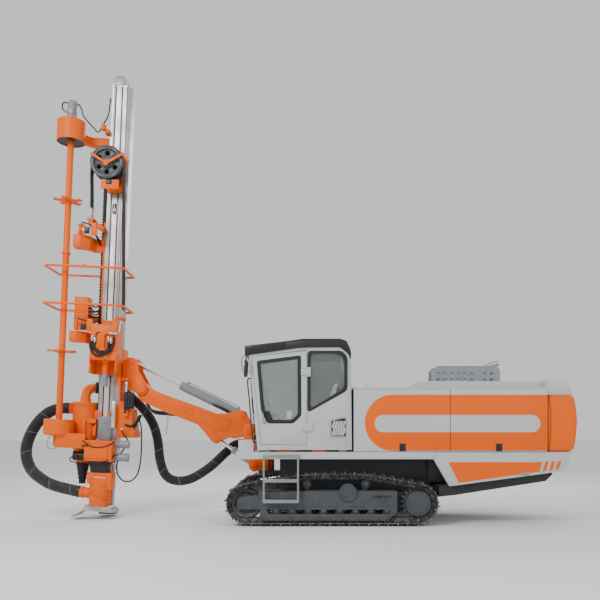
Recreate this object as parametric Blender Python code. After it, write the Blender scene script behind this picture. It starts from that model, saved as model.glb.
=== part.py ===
"""Crawler drilling rig: hydraulic down-the-hole surface rig with a folding mast.

Metres, +Z up. The drilling end points to -X, the engine end to +X, the cab stands at -Y.
The origin lies on the ground, below the middle of the machine's box.
Pieces on the mast are drawn in the mast's own frame: u across the feed beam (away from the
machine is -u), v along world Y, w up the beam. mast_frame places that frame in the world.
"""
import math

import bmesh
import bpy
from mathutils import Matrix, Vector

# Clearances
touch = 0.0003
sliding = 0.0006
pin_fit = 1.0095
pin_sides = 24

# Undercarriage
track_centre_y = 0.99
shoe_width = 0.38
shoe_count = 48
shoe_plate = 0.016
grouser_height = 0.035
rail_height = 0.075
rail_width = 0.03
rail_offset = 0.06
idler_x = -0.615
sprocket_x = 2.102
end_wheel_radius = 0.227
carrier_x = (0.345, 1.271)
carrier_z = 0.66
carrier_radius = 0.07
roller_radius = 0.07
roller_first_x = -0.139
roller_last_x = 1.606
roller_count = 8
roller_half = 0.1325
beam_half = 0.145
guard_thickness = 0.015
frame_top = 0.557
frame_floor = 0.26
sprocket_teeth = 20
pivot_x = 0.989
pivot_z = 0.531
pivot_cap_radius = 0.14

# Chassis and deck
chassis_half = 0.50
chassis_top = 1.0527
deck_bottom = 1.053
deck_top = 1.169
deck_front = -0.78
deck_rear = 2.345
deck_half = 1.12
well_rear = -0.08
well_sides = (-0.20, 0.76)
platform_rear = 4.50
platform_half = 1.0

# Boom and its post
boom_y = 0.27
boom_half = 0.16
post_x = -0.35
post_radius = 0.13
post_pin_radius = 0.06
post_bottom = 0.80
post_top = 1.00
lug_plate = 0.055
ear_inner = 0.175
ear_outer = 0.205
lift_pin = 0.045
head_pin_radius = 0.05
tilt_pin = 0.03
barrel_pin = 0.02
swing_pin = 0.010
lift_pivot = (-0.65, 1.512)
lift_base = (-0.555, 0.89)
lift_eye = (-1.241, 1.362)
tilt_base = (-0.779, 1.769)
tilt_eye = (-2.700, 2.712)
head_pin = (-2.540, 2.238)
bracket_inner = 0.170
bracket_outer = 0.200

# Mast
mast_lean = math.radians(2.4565)
mast_root_x = -3.2376
beam_half_u = 0.1335
beam_near_v = 0.08
beam_far_v = 0.36
beam_low_w = 0.90
beam_high_w = 7.57
rail_u = 0.2135
drill_u = 0.03
drill_v = -0.16
swing_w = 2.53
cradle_sides = (0.045, 0.50)
swing_base = (0.37, -0.02, swing_w - 0.68)
swing_eye = (0.37, -0.02, swing_w - 0.185)
cradle_front_u = 0.2185
cradle_rear_u = 0.245
swing_face_u = 0.27
bearing_depth = 0.06
passing_u = 0.155

# Cab, hood and their panels
cab_near_y = -1.15
cab_far_y = -0.20
cab_wall = 0.05
cab_floor_z = 1.20
door_gap = 0.006
hood_front_x = 1.075
hood_seam_x = 2.604
hood_rear_x = 4.14
hood_half = 1.075
hood_floor = 1.1693
hood_top = 2.16
hood_door_thickness = 0.04
cap_top = 2.069

# Ends of the two suction hoses
outlet_u = -0.165
outlet_v = 0.50
outlet_w = 2.25
inlet_u = -0.655
inlet_v = 0.185
inlet_w = 1.87
duct_x = -0.80
duct_y = 0.93
duct_z = 1.265
stub_start = (-0.13, -0.16, 0.425)
stub_end = (-0.31, -0.16, 0.445)

# Carousel
carousel_u = -0.72
carousel_v = -0.18
star_radius = 0.245
rod_slots = 5

finishes = {
    "orange": ((0.79, 0.17, 0.01), 0.38, 0.0),
    "panel grey": ((0.52, 0.53, 0.53), 0.42, 0.0),
    "frame grey": ((0.10, 0.115, 0.13), 0.50, 0.0),
    "cylinder grey": ((0.20, 0.215, 0.25), 0.40, 0.2),
    "black": ((0.03, 0.033, 0.035), 0.48, 0.0),
    "rubber": ((0.02, 0.02, 0.02), 0.75, 0.0),
    "pale rubber": ((0.58, 0.56, 0.50), 0.70, 0.0),
    "aluminium": ((0.58, 0.56, 0.53), 0.35, 0.9),
    "steel": ((0.32, 0.33, 0.34), 0.40, 0.9),
    "chrome": ((0.75, 0.76, 0.78), 0.12, 1.0),
    "glass": ((0.08, 0.11, 0.12), 0.06, 0.0),
    "seat cloth": ((0.06, 0.06, 0.065), 0.85, 0.0),
}

mast_frame = Matrix.Translation((mast_root_x, 0, 0)) @ Matrix.Rotation(mast_lean, 4, "Y")


def finish(name):
    """One Principled material for each named finish."""
    made = bpy.data.materials.get(name)
    if made:
        return made
    colour, roughness, metallic = finishes[name]
    made = bpy.data.materials.new(name)
    made.use_nodes = True
    shader = made.node_tree.nodes["Principled BSDF"]
    shader.inputs["Base Color"].default_value = (*colour, 1)
    shader.inputs["Roughness"].default_value = roughness
    shader.inputs["Metallic"].default_value = metallic
    return made


def mesh_of(points, faces):
    """A closed mesh with its faces pointing out."""
    mesh = bpy.data.meshes.new("shape")
    mesh.from_pydata([tuple(point) for point in points], [], faces)
    shape = bmesh.new()
    shape.from_mesh(mesh)
    bmesh.ops.recalc_face_normals(shape, faces=shape.faces)
    shape.to_mesh(mesh)
    shape.free()
    return mesh


def prism(outline, low, high, axis="Y"):
    """An outline pushed from low to high: (x, z) along Y, (x, y) along Z, (y, z) along X."""
    def place(point, level):
        if axis == "Y":
            return (point[0], level, point[1])
        if axis == "Z":
            return (point[0], point[1], level)
        return (level, point[0], point[1])
    count = len(outline)
    points = [place(point, low) for point in outline] + [place(point, high) for point in outline]
    sides = [(i, (i + 1) % count, (i + 1) % count + count, i + count) for i in range(count)]
    caps = [tuple(range(count)), tuple(range(count, 2 * count))]
    return mesh_of(points, sides + caps)


def block(x, y, z):
    """A box between the (low, high) pairs x, y and z."""
    return prism([(x[0], z[0]), (x[1], z[0]), (x[1], z[1]), (x[0], z[1])], y[0], y[1])


def arc(centre, radius, start, end, count):
    """Points on an arc, both ends included, angles in degrees."""
    angles = [math.radians(start + (end - start) * i / (count - 1)) for i in range(count)]
    return [(centre[0] + radius * math.cos(a), centre[1] + radius * math.sin(a)) for a in angles]


def turned(profile, base, direction, sides=16):
    """A profile of (radius, distance) turned about the axis through base."""
    axis = Vector(direction).normalized()
    turn = axis.to_track_quat("Z", "Y").to_matrix()
    points = []
    rings = []
    for radius, distance in profile:
        if radius == 0:
            rings.append([len(points)])
            points.append(Vector(base) + axis * distance)
            continue
        rings.append(list(range(len(points), len(points) + sides)))
        for i in range(sides):
            angle = 2 * math.pi * i / sides
            offset = turn @ Vector((radius * math.cos(angle), radius * math.sin(angle), distance))
            points.append(Vector(base) + offset)
    faces = []
    closed = profile[0][0] > 0
    pairs = list(zip(rings, rings[1:]))
    if closed:
        pairs.append((rings[-1], rings[0]))
    for one, other in pairs:
        for i in range(sides):
            j = (i + 1) % sides
            corner = [one[i % len(one)], one[j % len(one)], other[j % len(other)], other[i % len(other)]]
            faces.append(tuple(dict.fromkeys(corner)))
    return mesh_of(points, faces)


def rod(start, end, radius, sides=12, bore=None):
    """A round bar from start to end, or a tube with a through bore."""
    start = Vector(start)
    end = Vector(end)
    length = (end - start).length
    if bore is None:
        profile = [(0, 0), (radius, 0), (radius, length), (0, length)]
    else:
        profile = [(bore, 0), (radius, 0), (radius, length), (bore, length)]
    return turned(profile, start, end - start, sides)


def smooth_path(knots, steps):
    """Points on a smooth curve through the knots, steps to each stretch."""
    path = []
    for i in range(len(knots) - 1):
        before = Vector(knots[max(i - 1, 0)])
        here = Vector(knots[i])
        after = Vector(knots[i + 1])
        beyond = Vector(knots[min(i + 2, len(knots) - 1)])
        for step in range(steps):
            t = step / steps
            path.append(0.5 * (2 * here + (after - before) * t
                               + (2 * before - 5 * here + 4 * after - beyond) * t ** 2
                               + (3 * here - before - 3 * after + beyond) * t ** 3))
    path.append(Vector(knots[-1]))
    return path


def hose_path(start, knots, end, steps=3):
    """A smooth run through the knots with a straight stretch at both ends."""
    return [Vector(start)] + smooth_path(knots, steps) + [Vector(end)]


def tube_curve(name, path, radius, resolution):
    """A round tube along a path, as a curve with filled caps."""
    line = bpy.data.curves.new(name, "CURVE")
    line.dimensions = "3D"
    line.bevel_depth = radius
    line.bevel_resolution = resolution
    line.use_fill_caps = True
    spline = line.splines.new("POLY")
    spline.points.add(len(path) - 1)
    for point, place in zip(spline.points, path):
        point.co = (*place, 1)
    made = bpy.data.objects.new(name, line)
    bpy.context.scene.collection.objects.link(made)
    return made


def tube_mesh(path, radius, resolution):
    """The same tube as a closed mesh."""
    guide = tube_curve("tube_guide", path, radius, resolution)
    bpy.context.view_layer.update()
    mesh = bpy.data.meshes.new_from_object(guide)
    bpy.data.objects.remove(guide)
    shape = bmesh.new()
    shape.from_mesh(mesh)
    bmesh.ops.remove_doubles(shape, verts=shape.verts, dist=0.00001)
    bmesh.ops.recalc_face_normals(shape, faces=shape.faces)
    shape.to_mesh(mesh)
    shape.free()
    return mesh


def tube(name, material, path, radius, resolution, frame, carrier):
    """A sub-part that is one round tube."""
    made = tube_curve(name, path, radius, resolution)
    made.data.materials.append(finish(material))
    made.matrix_world = frame
    carry(made, carrier)
    return made


def carry(made, carrier):
    """Hang an object on its joint's empty and leave it where it is."""
    if carrier is None:
        return
    bpy.context.view_layer.update()
    made.parent = carrier
    made.matrix_parent_inverse = carrier.matrix_world.inverted()


def joint(name, place, carrier=None):
    """An empty on a joint's axis, carried by the joint before it."""
    made = bpy.data.objects.new(name, None)
    bpy.context.scene.collection.objects.link(made)
    made.location = place
    carry(made, carrier)
    bpy.context.view_layer.update()
    return made


def on_mast(u, v, w):
    """World place of a point in the mast's frame."""
    return mast_frame @ Vector((u, v, w))


def solid(name, material, shapes, cuts=(), frame=Matrix(), carrier=None, soften=None):
    """One named sub-part: its shapes joined, its cuts taken out, as one closed mesh."""
    made = bpy.data.objects.new(name, shapes[0])
    bpy.context.scene.collection.objects.link(made)
    guides = []
    for shape, operation in [(s, "UNION") for s in shapes[1:]] + [(c, "DIFFERENCE") for c in cuts]:
        guide = bpy.data.objects.new(name + "_guide", shape)
        bpy.context.scene.collection.objects.link(guide)
        guide.hide_render = True
        guide.display_type = "WIRE"
        guides.append(guide)
        step = made.modifiers.new("join", "BOOLEAN")
        step.operation = operation
        step.object = guide
    if soften:
        edge = made.modifiers.new("edge", "BEVEL")
        edge.width = soften
        edge.segments = 1
        edge.limit_method = "ANGLE"
        edge.angle_limit = math.radians(60)
    bpy.context.view_layer.update()
    seen = made.evaluated_get(bpy.context.evaluated_depsgraph_get())
    mesh = bpy.data.meshes.new_from_object(seen)
    made.modifiers.clear()
    made.data = mesh
    for guide in guides:
        bpy.data.objects.remove(guide)
    mesh.name = name
    mesh.materials.clear()
    mesh.materials.append(finish(material))
    mesh.shade_smooth()
    mesh.set_sharp_from_angle(angle=math.radians(35))
    made.matrix_world = frame
    carry(made, carrier)
    return made


# Undercarriage


def belt(offset, arc_step):
    """Points, outward normals of the belt round idler, sprocket and carriers, offset outwards."""
    wheels = [(idler_x, belt_z, end_wheel_radius), (sprocket_x, belt_z, end_wheel_radius),
              (carrier_x[1], carrier_z, carrier_radius), (carrier_x[0], carrier_z, carrier_radius)]
    count = len(wheels)
    normals = []
    for i in range(count):
        ax, az, ar = wheels[i]
        bx, bz, br = wheels[(i + 1) % count]
        along = Vector((bx - ax, bz - az))
        k = (ar - br) / along.length
        along.normalize()
        normals.append(k * along + math.sqrt(1 - k * k) * Vector((along.y, -along.x)))
    path = []
    for i in range(count):
        x, z, radius = wheels[i]
        start = math.atan2(normals[i - 1].y, normals[i - 1].x)
        sweep = (math.atan2(normals[i].y, normals[i].x) - start) % (2 * math.pi)
        steps = max(1, math.ceil(math.degrees(sweep) / arc_step))
        for step in range(steps + 1):
            angle = start + sweep * step / steps
            normal = Vector((math.cos(angle), math.sin(angle)))
            path.append((Vector((x, z)) + normal * (radius + offset), normal))
    return path


belt_z = end_wheel_radius + rail_height + shoe_plate + grouser_height


def along_belt(path, length_share):
    """Point and normal at a share of the belt's length."""
    stretches = [(path[(i + 1) % len(path)][0] - path[i][0]).length for i in range(len(path))]
    goal = length_share % 1.0 * sum(stretches)
    for i, stretch in enumerate(stretches):
        if goal <= stretch:
            t = goal / stretch if stretch else 0
            here, normal = path[i]
            there, next_normal = path[(i + 1) % len(path)]
            return here.lerp(there, t), normal.lerp(next_normal, t).normalized()
        goal -= stretch
    return path[0]


def track(name, side, carrier):
    """One loop of shoe plates with a grouser bar on each, on two chain rails."""
    # share of the shoe's pitch, height over the plate's inner face
    shoe_profile = [(0.0, 0.005), (0.03, shoe_plate), (0.45, shoe_plate),
                    (0.48, shoe_plate + grouser_height), (0.58, shoe_plate + grouser_height)]
    inner_face = belt(rail_height, 3)
    outer = []
    for shoe in range(shoe_count):
        for share, height in shoe_profile:
            point, normal = along_belt(inner_face, (shoe + share) / shoe_count)
            outer.append(point + normal * height)
    inner = [p for p, n in belt(rail_height, 15)]
    centre = side * track_centre_y
    shapes = [prism(outer, centre - shoe_width / 2, centre + shoe_width / 2)]
    cuts = [prism(inner, centre - shoe_width, centre + shoe_width)]
    band = solid(name + "_band", "frame grey", shapes, cuts)
    rails = []
    for offset in (-rail_offset, rail_offset):
        y = centre + offset
        rail = prism([p for p, n in belt(rail_height + 0.003, 15)], y - rail_width / 2, y + rail_width / 2)
        hole = prism([p for p, n in belt(0, 15)], y - rail_width, y + rail_width)
        ring = solid(name + "_rail", "frame grey", [rail], [hole])
        rails.append(ring.data)
        bpy.data.objects.remove(ring)
    mesh = band.data
    bpy.data.objects.remove(band)
    return solid(name, "frame grey", [mesh] + rails, carrier=carrier)


def track_frame(name, side, carrier):
    """Box beam with the idler in its yoke, rollers between guards, carriers and pivot cap."""
    c = side * track_centre_y

    def span(near, far):
        return tuple(sorted((c + side * near, c + side * far)))

    half = beam_half - guard_thickness
    shapes = [block((-0.30, 1.763), span(-half, half), (frame_floor, frame_top))]
    rock_guard = [(-0.424, frame_floor + 0.05), (-0.424, 0.16), (-0.36, 0.08), (1.60, 0.08),
                  (1.70, 0.16), (1.763, 0.21), (1.763, frame_top - 0.01), (-0.35, frame_top - 0.01)]
    for edge in (-1, 1):
        shapes.append(prism(rock_guard, *span(edge * (half - 0.002), edge * beam_half)))
        yoke = [(-0.754, 0.25), (-0.30, 0.25), (-0.30, 0.50), (-0.70, 0.46), (-0.754, 0.42)]
        shapes.append(prism(yoke, *span(edge * (half - 0.005), edge * beam_half)))
    pitch = (roller_last_x - roller_first_x) / (roller_count - 1)
    roller_z = belt_z - end_wheel_radius + roller_radius + 0.0005
    for i in range(roller_count):
        x = roller_first_x + i * pitch
        shapes.append(rod((x, c - roller_half, roller_z), (x, c + roller_half, roller_z), roller_radius, 10))
    for x in carrier_x:
        top = carrier_radius - 0.0006
        shapes.append(rod((x, c - 0.11, carrier_z), (x, c + 0.11, carrier_z), top, 12))
        shapes.append(block((x - 0.03, x + 0.03), span(-0.03, 0.03), (frame_top - 0.02, carrier_z)))
    final_drive_arm = arc((sprocket_x, belt_z), 0.17, -80, 80, 9) + [(1.60, 0.52), (1.60, 0.24)]
    shapes.append(prism(final_drive_arm, *span(-beam_half, -beam_half + 0.024)))
    shapes.append(rod((pivot_x, c + side * 0.12, pivot_z), (pivot_x, c + side * 0.175, pivot_z),
                      pivot_cap_radius, 24))
    shapes.append(idler_shape(side))
    return solid(name, "frame grey", shapes, carrier=carrier)


def idler_shape(side):
    """Front wheel of the track, with a guide flange between the chain rails."""
    tread = end_wheel_radius - 0.0024
    profile = [(0, -0.135), (0.07, -0.135), (0.07, -0.10), (tread, -0.10), (tread, -0.042),
               (tread + 0.03, -0.036), (tread + 0.03, 0.036), (tread, 0.042), (tread, 0.10),
               (0.07, 0.10), (0.07, 0.135), (0, 0.135)]
    return turned(profile, (idler_x, side * track_centre_y, belt_z), (0, 1, 0), 24)


def sprocket(name, side, carrier):
    """Toothed wheel with its final drive hub."""
    c = side * track_centre_y
    root = end_wheel_radius - 0.002
    tip = end_wheel_radius + rail_height - 0.027
    teeth = []
    for i in range(sprocket_teeth):
        for share, radius in ((0.0, root), (0.3, root), (0.52, tip), (0.78, tip)):
            angle = 2 * math.pi * (i + share) / sprocket_teeth
            teeth.append((sprocket_x + radius * math.cos(angle), belt_z + radius * math.sin(angle)))
    shapes = [prism(teeth, c - 0.03, c + 0.03)]
    inner = c - side * (beam_half - 0.0243)
    profile = [(0, 0), (0.17, 0), (0.17, 0.20), (0.20, 0.20), (0.20, 0.262), (0.12, 0.285), (0, 0.285)]
    shapes.append(turned(profile, (sprocket_x, inner, belt_z), (0, side, 0), 24))
    return solid(name, "frame grey", shapes, carrier=carrier)


# Chassis, deck and what stands on it


def chassis(carrier):
    """Welded centre frame: cross shaft, front cross beam, nose lugs for the boom post, rear frame."""
    h = chassis_half
    frame_side = track_centre_y - beam_half - touch
    shapes = [block((-0.10, 2.36), (-h, h), (0.42, chassis_top))]
    rear = [(2.346, chassis_top + 0.04), (2.346, 0.66), (2.62, 0.66), (4.25, 0.91),
            (4.25, chassis_top + 0.04)]
    shapes.append(prism(rear, -0.62, 0.62))
    shapes.append(rod((pivot_x, -frame_side, 0.44), (pivot_x, frame_side, 0.44), 0.11, 16))
    shapes.append(block((-0.08, 0.14), (-frame_side, frame_side), (0.36, 0.54)))
    nose = arc((post_x, boom_y), 0.16, 90, 270, 9) + [(0.0, boom_y - 0.16), (0.0, boom_y + 0.16)]
    shapes.append(prism(nose, post_top + touch, chassis_top, "Z"))
    shapes.append(prism(nose, post_bottom - touch - lug_plate, post_bottom - touch, "Z"))
    shapes.append(rod((post_x, boom_y, post_bottom - 0.03), (post_x, boom_y, post_top + 0.03),
                      post_pin_radius, pin_sides))
    return solid("chassis_frame", "frame grey", shapes, carrier=carrier)


def deck(carrier):
    """Deck plate with the boom's well and a tool box at the front, engine platform behind."""
    outline = [(deck_front, -deck_half), (deck_rear, -deck_half), (deck_rear, deck_half),
               (deck_front, deck_half), (deck_front, well_sides[1]), (well_rear, well_sides[1]),
               (well_rear, well_sides[0]), (deck_front, well_sides[0])]
    shapes = [prism(outline, deck_bottom, deck_top, "Z"),
              block((deck_rear - 0.05, platform_rear), (-platform_half, platform_half),
                    (chassis_top + 0.0403, deck_top)),
              block((-0.74, -0.50), (-1.08, -0.72), (deck_top - 0.01, 1.357))]
    return solid("deck", "panel grey", shapes, carrier=carrier)


def ladder(carrier):
    """Two hung treads and a top step on thin side bars."""
    face = -deck_half - touch
    x = (-0.346, 0.219)
    shapes = []
    for bar_x in (x[0], x[1] - 0.03):
        shapes.append(block((bar_x, bar_x + 0.03), (face - 0.125, face - 0.085), (0.376, 1.13)))
        shapes.append(block((bar_x, bar_x + 0.03), (face - 0.125, face), (1.075, 1.13)))
    for low, high in ((0.376, 0.431), (0.698, 0.752), (1.08, 1.125)):
        shapes.append(block((x[0] + 0.005, x[1] - 0.005), (face - 0.16, face - 0.07), (low, high)))
    return solid("ladder", "steel", shapes, carrier=carrier)


cab_outline = [(-0.435, cab_floor_z), (1.051, cab_floor_z), (1.036, 2.598), (0.984, 2.715),
               (0.863, 2.813), (0.248, 2.805), (-0.566, 2.692)]
cab_inside = [(-0.385, cab_floor_z + 0.05), (1.0, cab_floor_z + 0.05), (0.986, 2.59), (0.94, 2.69),
              (0.85, 2.763), (0.25, 2.755), (-0.51, 2.645)]
door_outline = [(-0.377, 1.288), (0.339, 1.280), (0.339, 2.761), (-0.526, 2.664)]
door_window = [(-0.443, 2.598), (-0.377, 1.828), (-0.271, 1.619), (0.128, 1.619), (0.255, 1.739),
               (0.248, 2.686)]
rear_window = [(0.40, 1.85), (0.93, 2.17), (0.93, 2.63), (0.84, 2.72), (0.40, 2.72)]
right_window = [(-0.32, 1.70), (0.85, 1.70), (0.85, 2.58), (-0.40, 2.58)]
windscreen_z = (1.50, 2.60)
hinge_axis = (0.342, -1.165)
hinge_z = ((1.491, 1.656), (2.354, 2.50))


def grown(outline, amount):
    """The outline with each corner moved out by about the amount."""
    middle_x = sum(p[0] for p in outline) / len(outline)
    middle_z = sum(p[1] for p in outline) / len(outline)
    moved = []
    for x, z in outline:
        moved.append((x + (amount if x > middle_x else -amount), z + (amount if z > middle_z else -amount)))
    return moved


def cab_front_x(z):
    """X of the cab's leaning front at a height."""
    share = (z - cab_outline[0][1]) / (cab_outline[-1][1] - cab_outline[0][1])
    return cab_outline[0][0] + share * (cab_outline[-1][0] - cab_outline[0][0])


def cab_shell(carrier):
    """Hollow cab of panels as thick as its walls, on four mounts, with its openings."""
    shapes = [prism(cab_outline, cab_near_y, cab_far_y)]
    for x in (-0.35, 0.85):
        for y in (cab_near_y + 0.08, cab_far_y - 0.20):
            shapes.append(block((x, x + 0.12), (y, y + 0.12), (deck_top + touch, cab_floor_z + 0.01)))
    for low, high in hinge_z:
        shapes.append(block((0.372, 0.43), (cab_near_y - 0.025, cab_near_y + 0.01), (low, high)))
        shapes.append(block((hinge_axis[0] + 0.0143, 0.40), (cab_near_y - 0.025, cab_near_y - 0.004),
                            (low, high)))
    opening = grown(door_outline, door_gap)
    # the door's sloping top edge swings back under the lower part of the opening
    opening[2] = (opening[2][0], opening[2][1] + 0.009)
    cuts = [prism(cab_inside, cab_near_y + cab_wall, cab_far_y - cab_wall),
            prism(opening, cab_near_y - 0.1, cab_near_y + cab_wall + 0.01),
            prism(rear_window, cab_near_y - 0.1, cab_near_y + cab_wall + 0.01),
            prism(right_window, cab_far_y - cab_wall - 0.01, cab_far_y + 0.1),
            block((-0.75, -0.36), (cab_near_y + 0.06, cab_far_y - 0.06), windscreen_z)]
    return solid("cab_shell", "panel grey", shapes, cuts, carrier=carrier)


def cab_door(carrier):
    """Whole door with its window opening, hinge knuckles and handle."""
    face = cab_near_y - 0.005
    shapes = [prism(door_outline, face, cab_near_y + cab_wall - 0.002)]
    for low, high in hinge_z:
        shapes.append(rod((*hinge_axis, low), (*hinge_axis, high), 0.014, 12))
        shapes.append(block((0.25, 0.335), (face - 0.012, face + 0.01), (low + 0.02, high - 0.02)))
        shapes.append(block((0.325, hinge_axis[0]), (face - 0.016, face + 0.002), (low + 0.02, high - 0.02)))
    shapes.append(block((-0.345, -0.315), (face - 0.05, face - 0.03), (1.63, 1.80)))
    for z in (1.64, 1.77):
        shapes.append(block((-0.345, -0.315), (face - 0.05, face + 0.01), (z, z + 0.02)))
    cuts = [prism(door_window, face - 0.1, cab_near_y + cab_wall + 0.01)]
    return solid("cab_door", "panel grey", shapes, cuts, carrier=carrier)


def cab_glass(body, door_body):
    """One pane for each opening, seated by a fine gap."""
    thin = 0.008
    near = cab_near_y + 0.012
    far = cab_far_y - 0.012
    solid("door_window", "glass", [prism(grown(door_window, -touch), near, near + thin)], carrier=door_body)
    solid("rear_side_window", "glass", [prism(grown(rear_window, -touch), near, near + thin)], carrier=body)
    solid("right_window", "glass", [prism(grown(right_window, -touch), far - thin, far)], carrier=body)
    low = windscreen_z[0] + touch
    high = windscreen_z[1] - touch
    pane = [(cab_front_x(low) + 0.012, low), (cab_front_x(low) + 0.020, low),
            (cab_front_x(high) + 0.020, high), (cab_front_x(high) + 0.012, high)]
    solid("windscreen", "glass", [prism(pane, cab_near_y + 0.06 + touch, cab_far_y - 0.06 - touch)],
          carrier=body)


def cab_roof(carrier):
    """Black roof cap with its front visor and the mirror below the visor."""
    top = [(-0.632, 2.690), (-0.580, 2.690), (-0.567, 2.692 + touch), (0.248, 2.805 + touch),
           (0.863, 2.813 + touch), (0.984 + touch, 2.715 + touch), (1.033, 2.63), (1.04, 2.723),
           (1.02, 2.805), (0.962, 2.918), (0.863, 2.948), (0.277, 2.948), (-0.022, 2.904), (-0.632, 2.836)]
    y = cab_near_y + 0.03
    shapes = [prism(top, cab_near_y - 0.02, cab_far_y + 0.02),
              block((-0.622, -0.602), (y - 0.02, y + 0.01), (2.60, 2.72)),
              block((-0.630, -0.600), (y - 0.12, y + 0.02), (2.37, 2.61))]
    return solid("cab_roof", "black", shapes, carrier=carrier)


def seat(carrier):
    """Pedestal with armrests and the console on one floor plate, and the cushions."""
    x = 0.30
    y = -0.675
    floor = cab_floor_z + 0.05 + touch
    shapes = [block((x - 0.05, x + 0.35), (y - 0.18, y + 0.18), (floor, 1.50)),
              block((x - 0.10, x + 0.42), (y - 0.24, y + 0.24), (1.49, 1.56))]
    for edge in (-1, 1):
        side = sorted((y + edge * 0.265, y + edge * 0.345))
        shapes.append(block((x - 0.10, x + 0.40), tuple(side), (1.50, 1.82)))
        shapes.append(block((x, x + 0.30), tuple(sorted((y + edge * 0.20, y + edge * 0.30))), (1.50, 1.55)))
    cushion = [(x - 0.10, 1.56 + touch), (x + 0.42, 1.56 + touch), (x + 0.52, 2.30), (x + 0.40, 2.32),
               (x + 0.30, 1.70), (x - 0.10, 1.68)]
    solid("seat_cushion", "seat cloth", [prism(cushion, y - 0.24, y + 0.24)], carrier=carrier)
    column = [(-0.36, floor), (-0.18, floor), (-0.20, 1.80), (-0.30, 1.90), (-0.42, 1.86)]
    shapes.append(prism(column, y - 0.05, y + 0.38))
    shapes.append(block((-0.35, 0.40), (y - 0.15, y + 0.15), (floor, floor + 0.02)))
    solid("seat_frame", "black", shapes, carrier=carrier)


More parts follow.
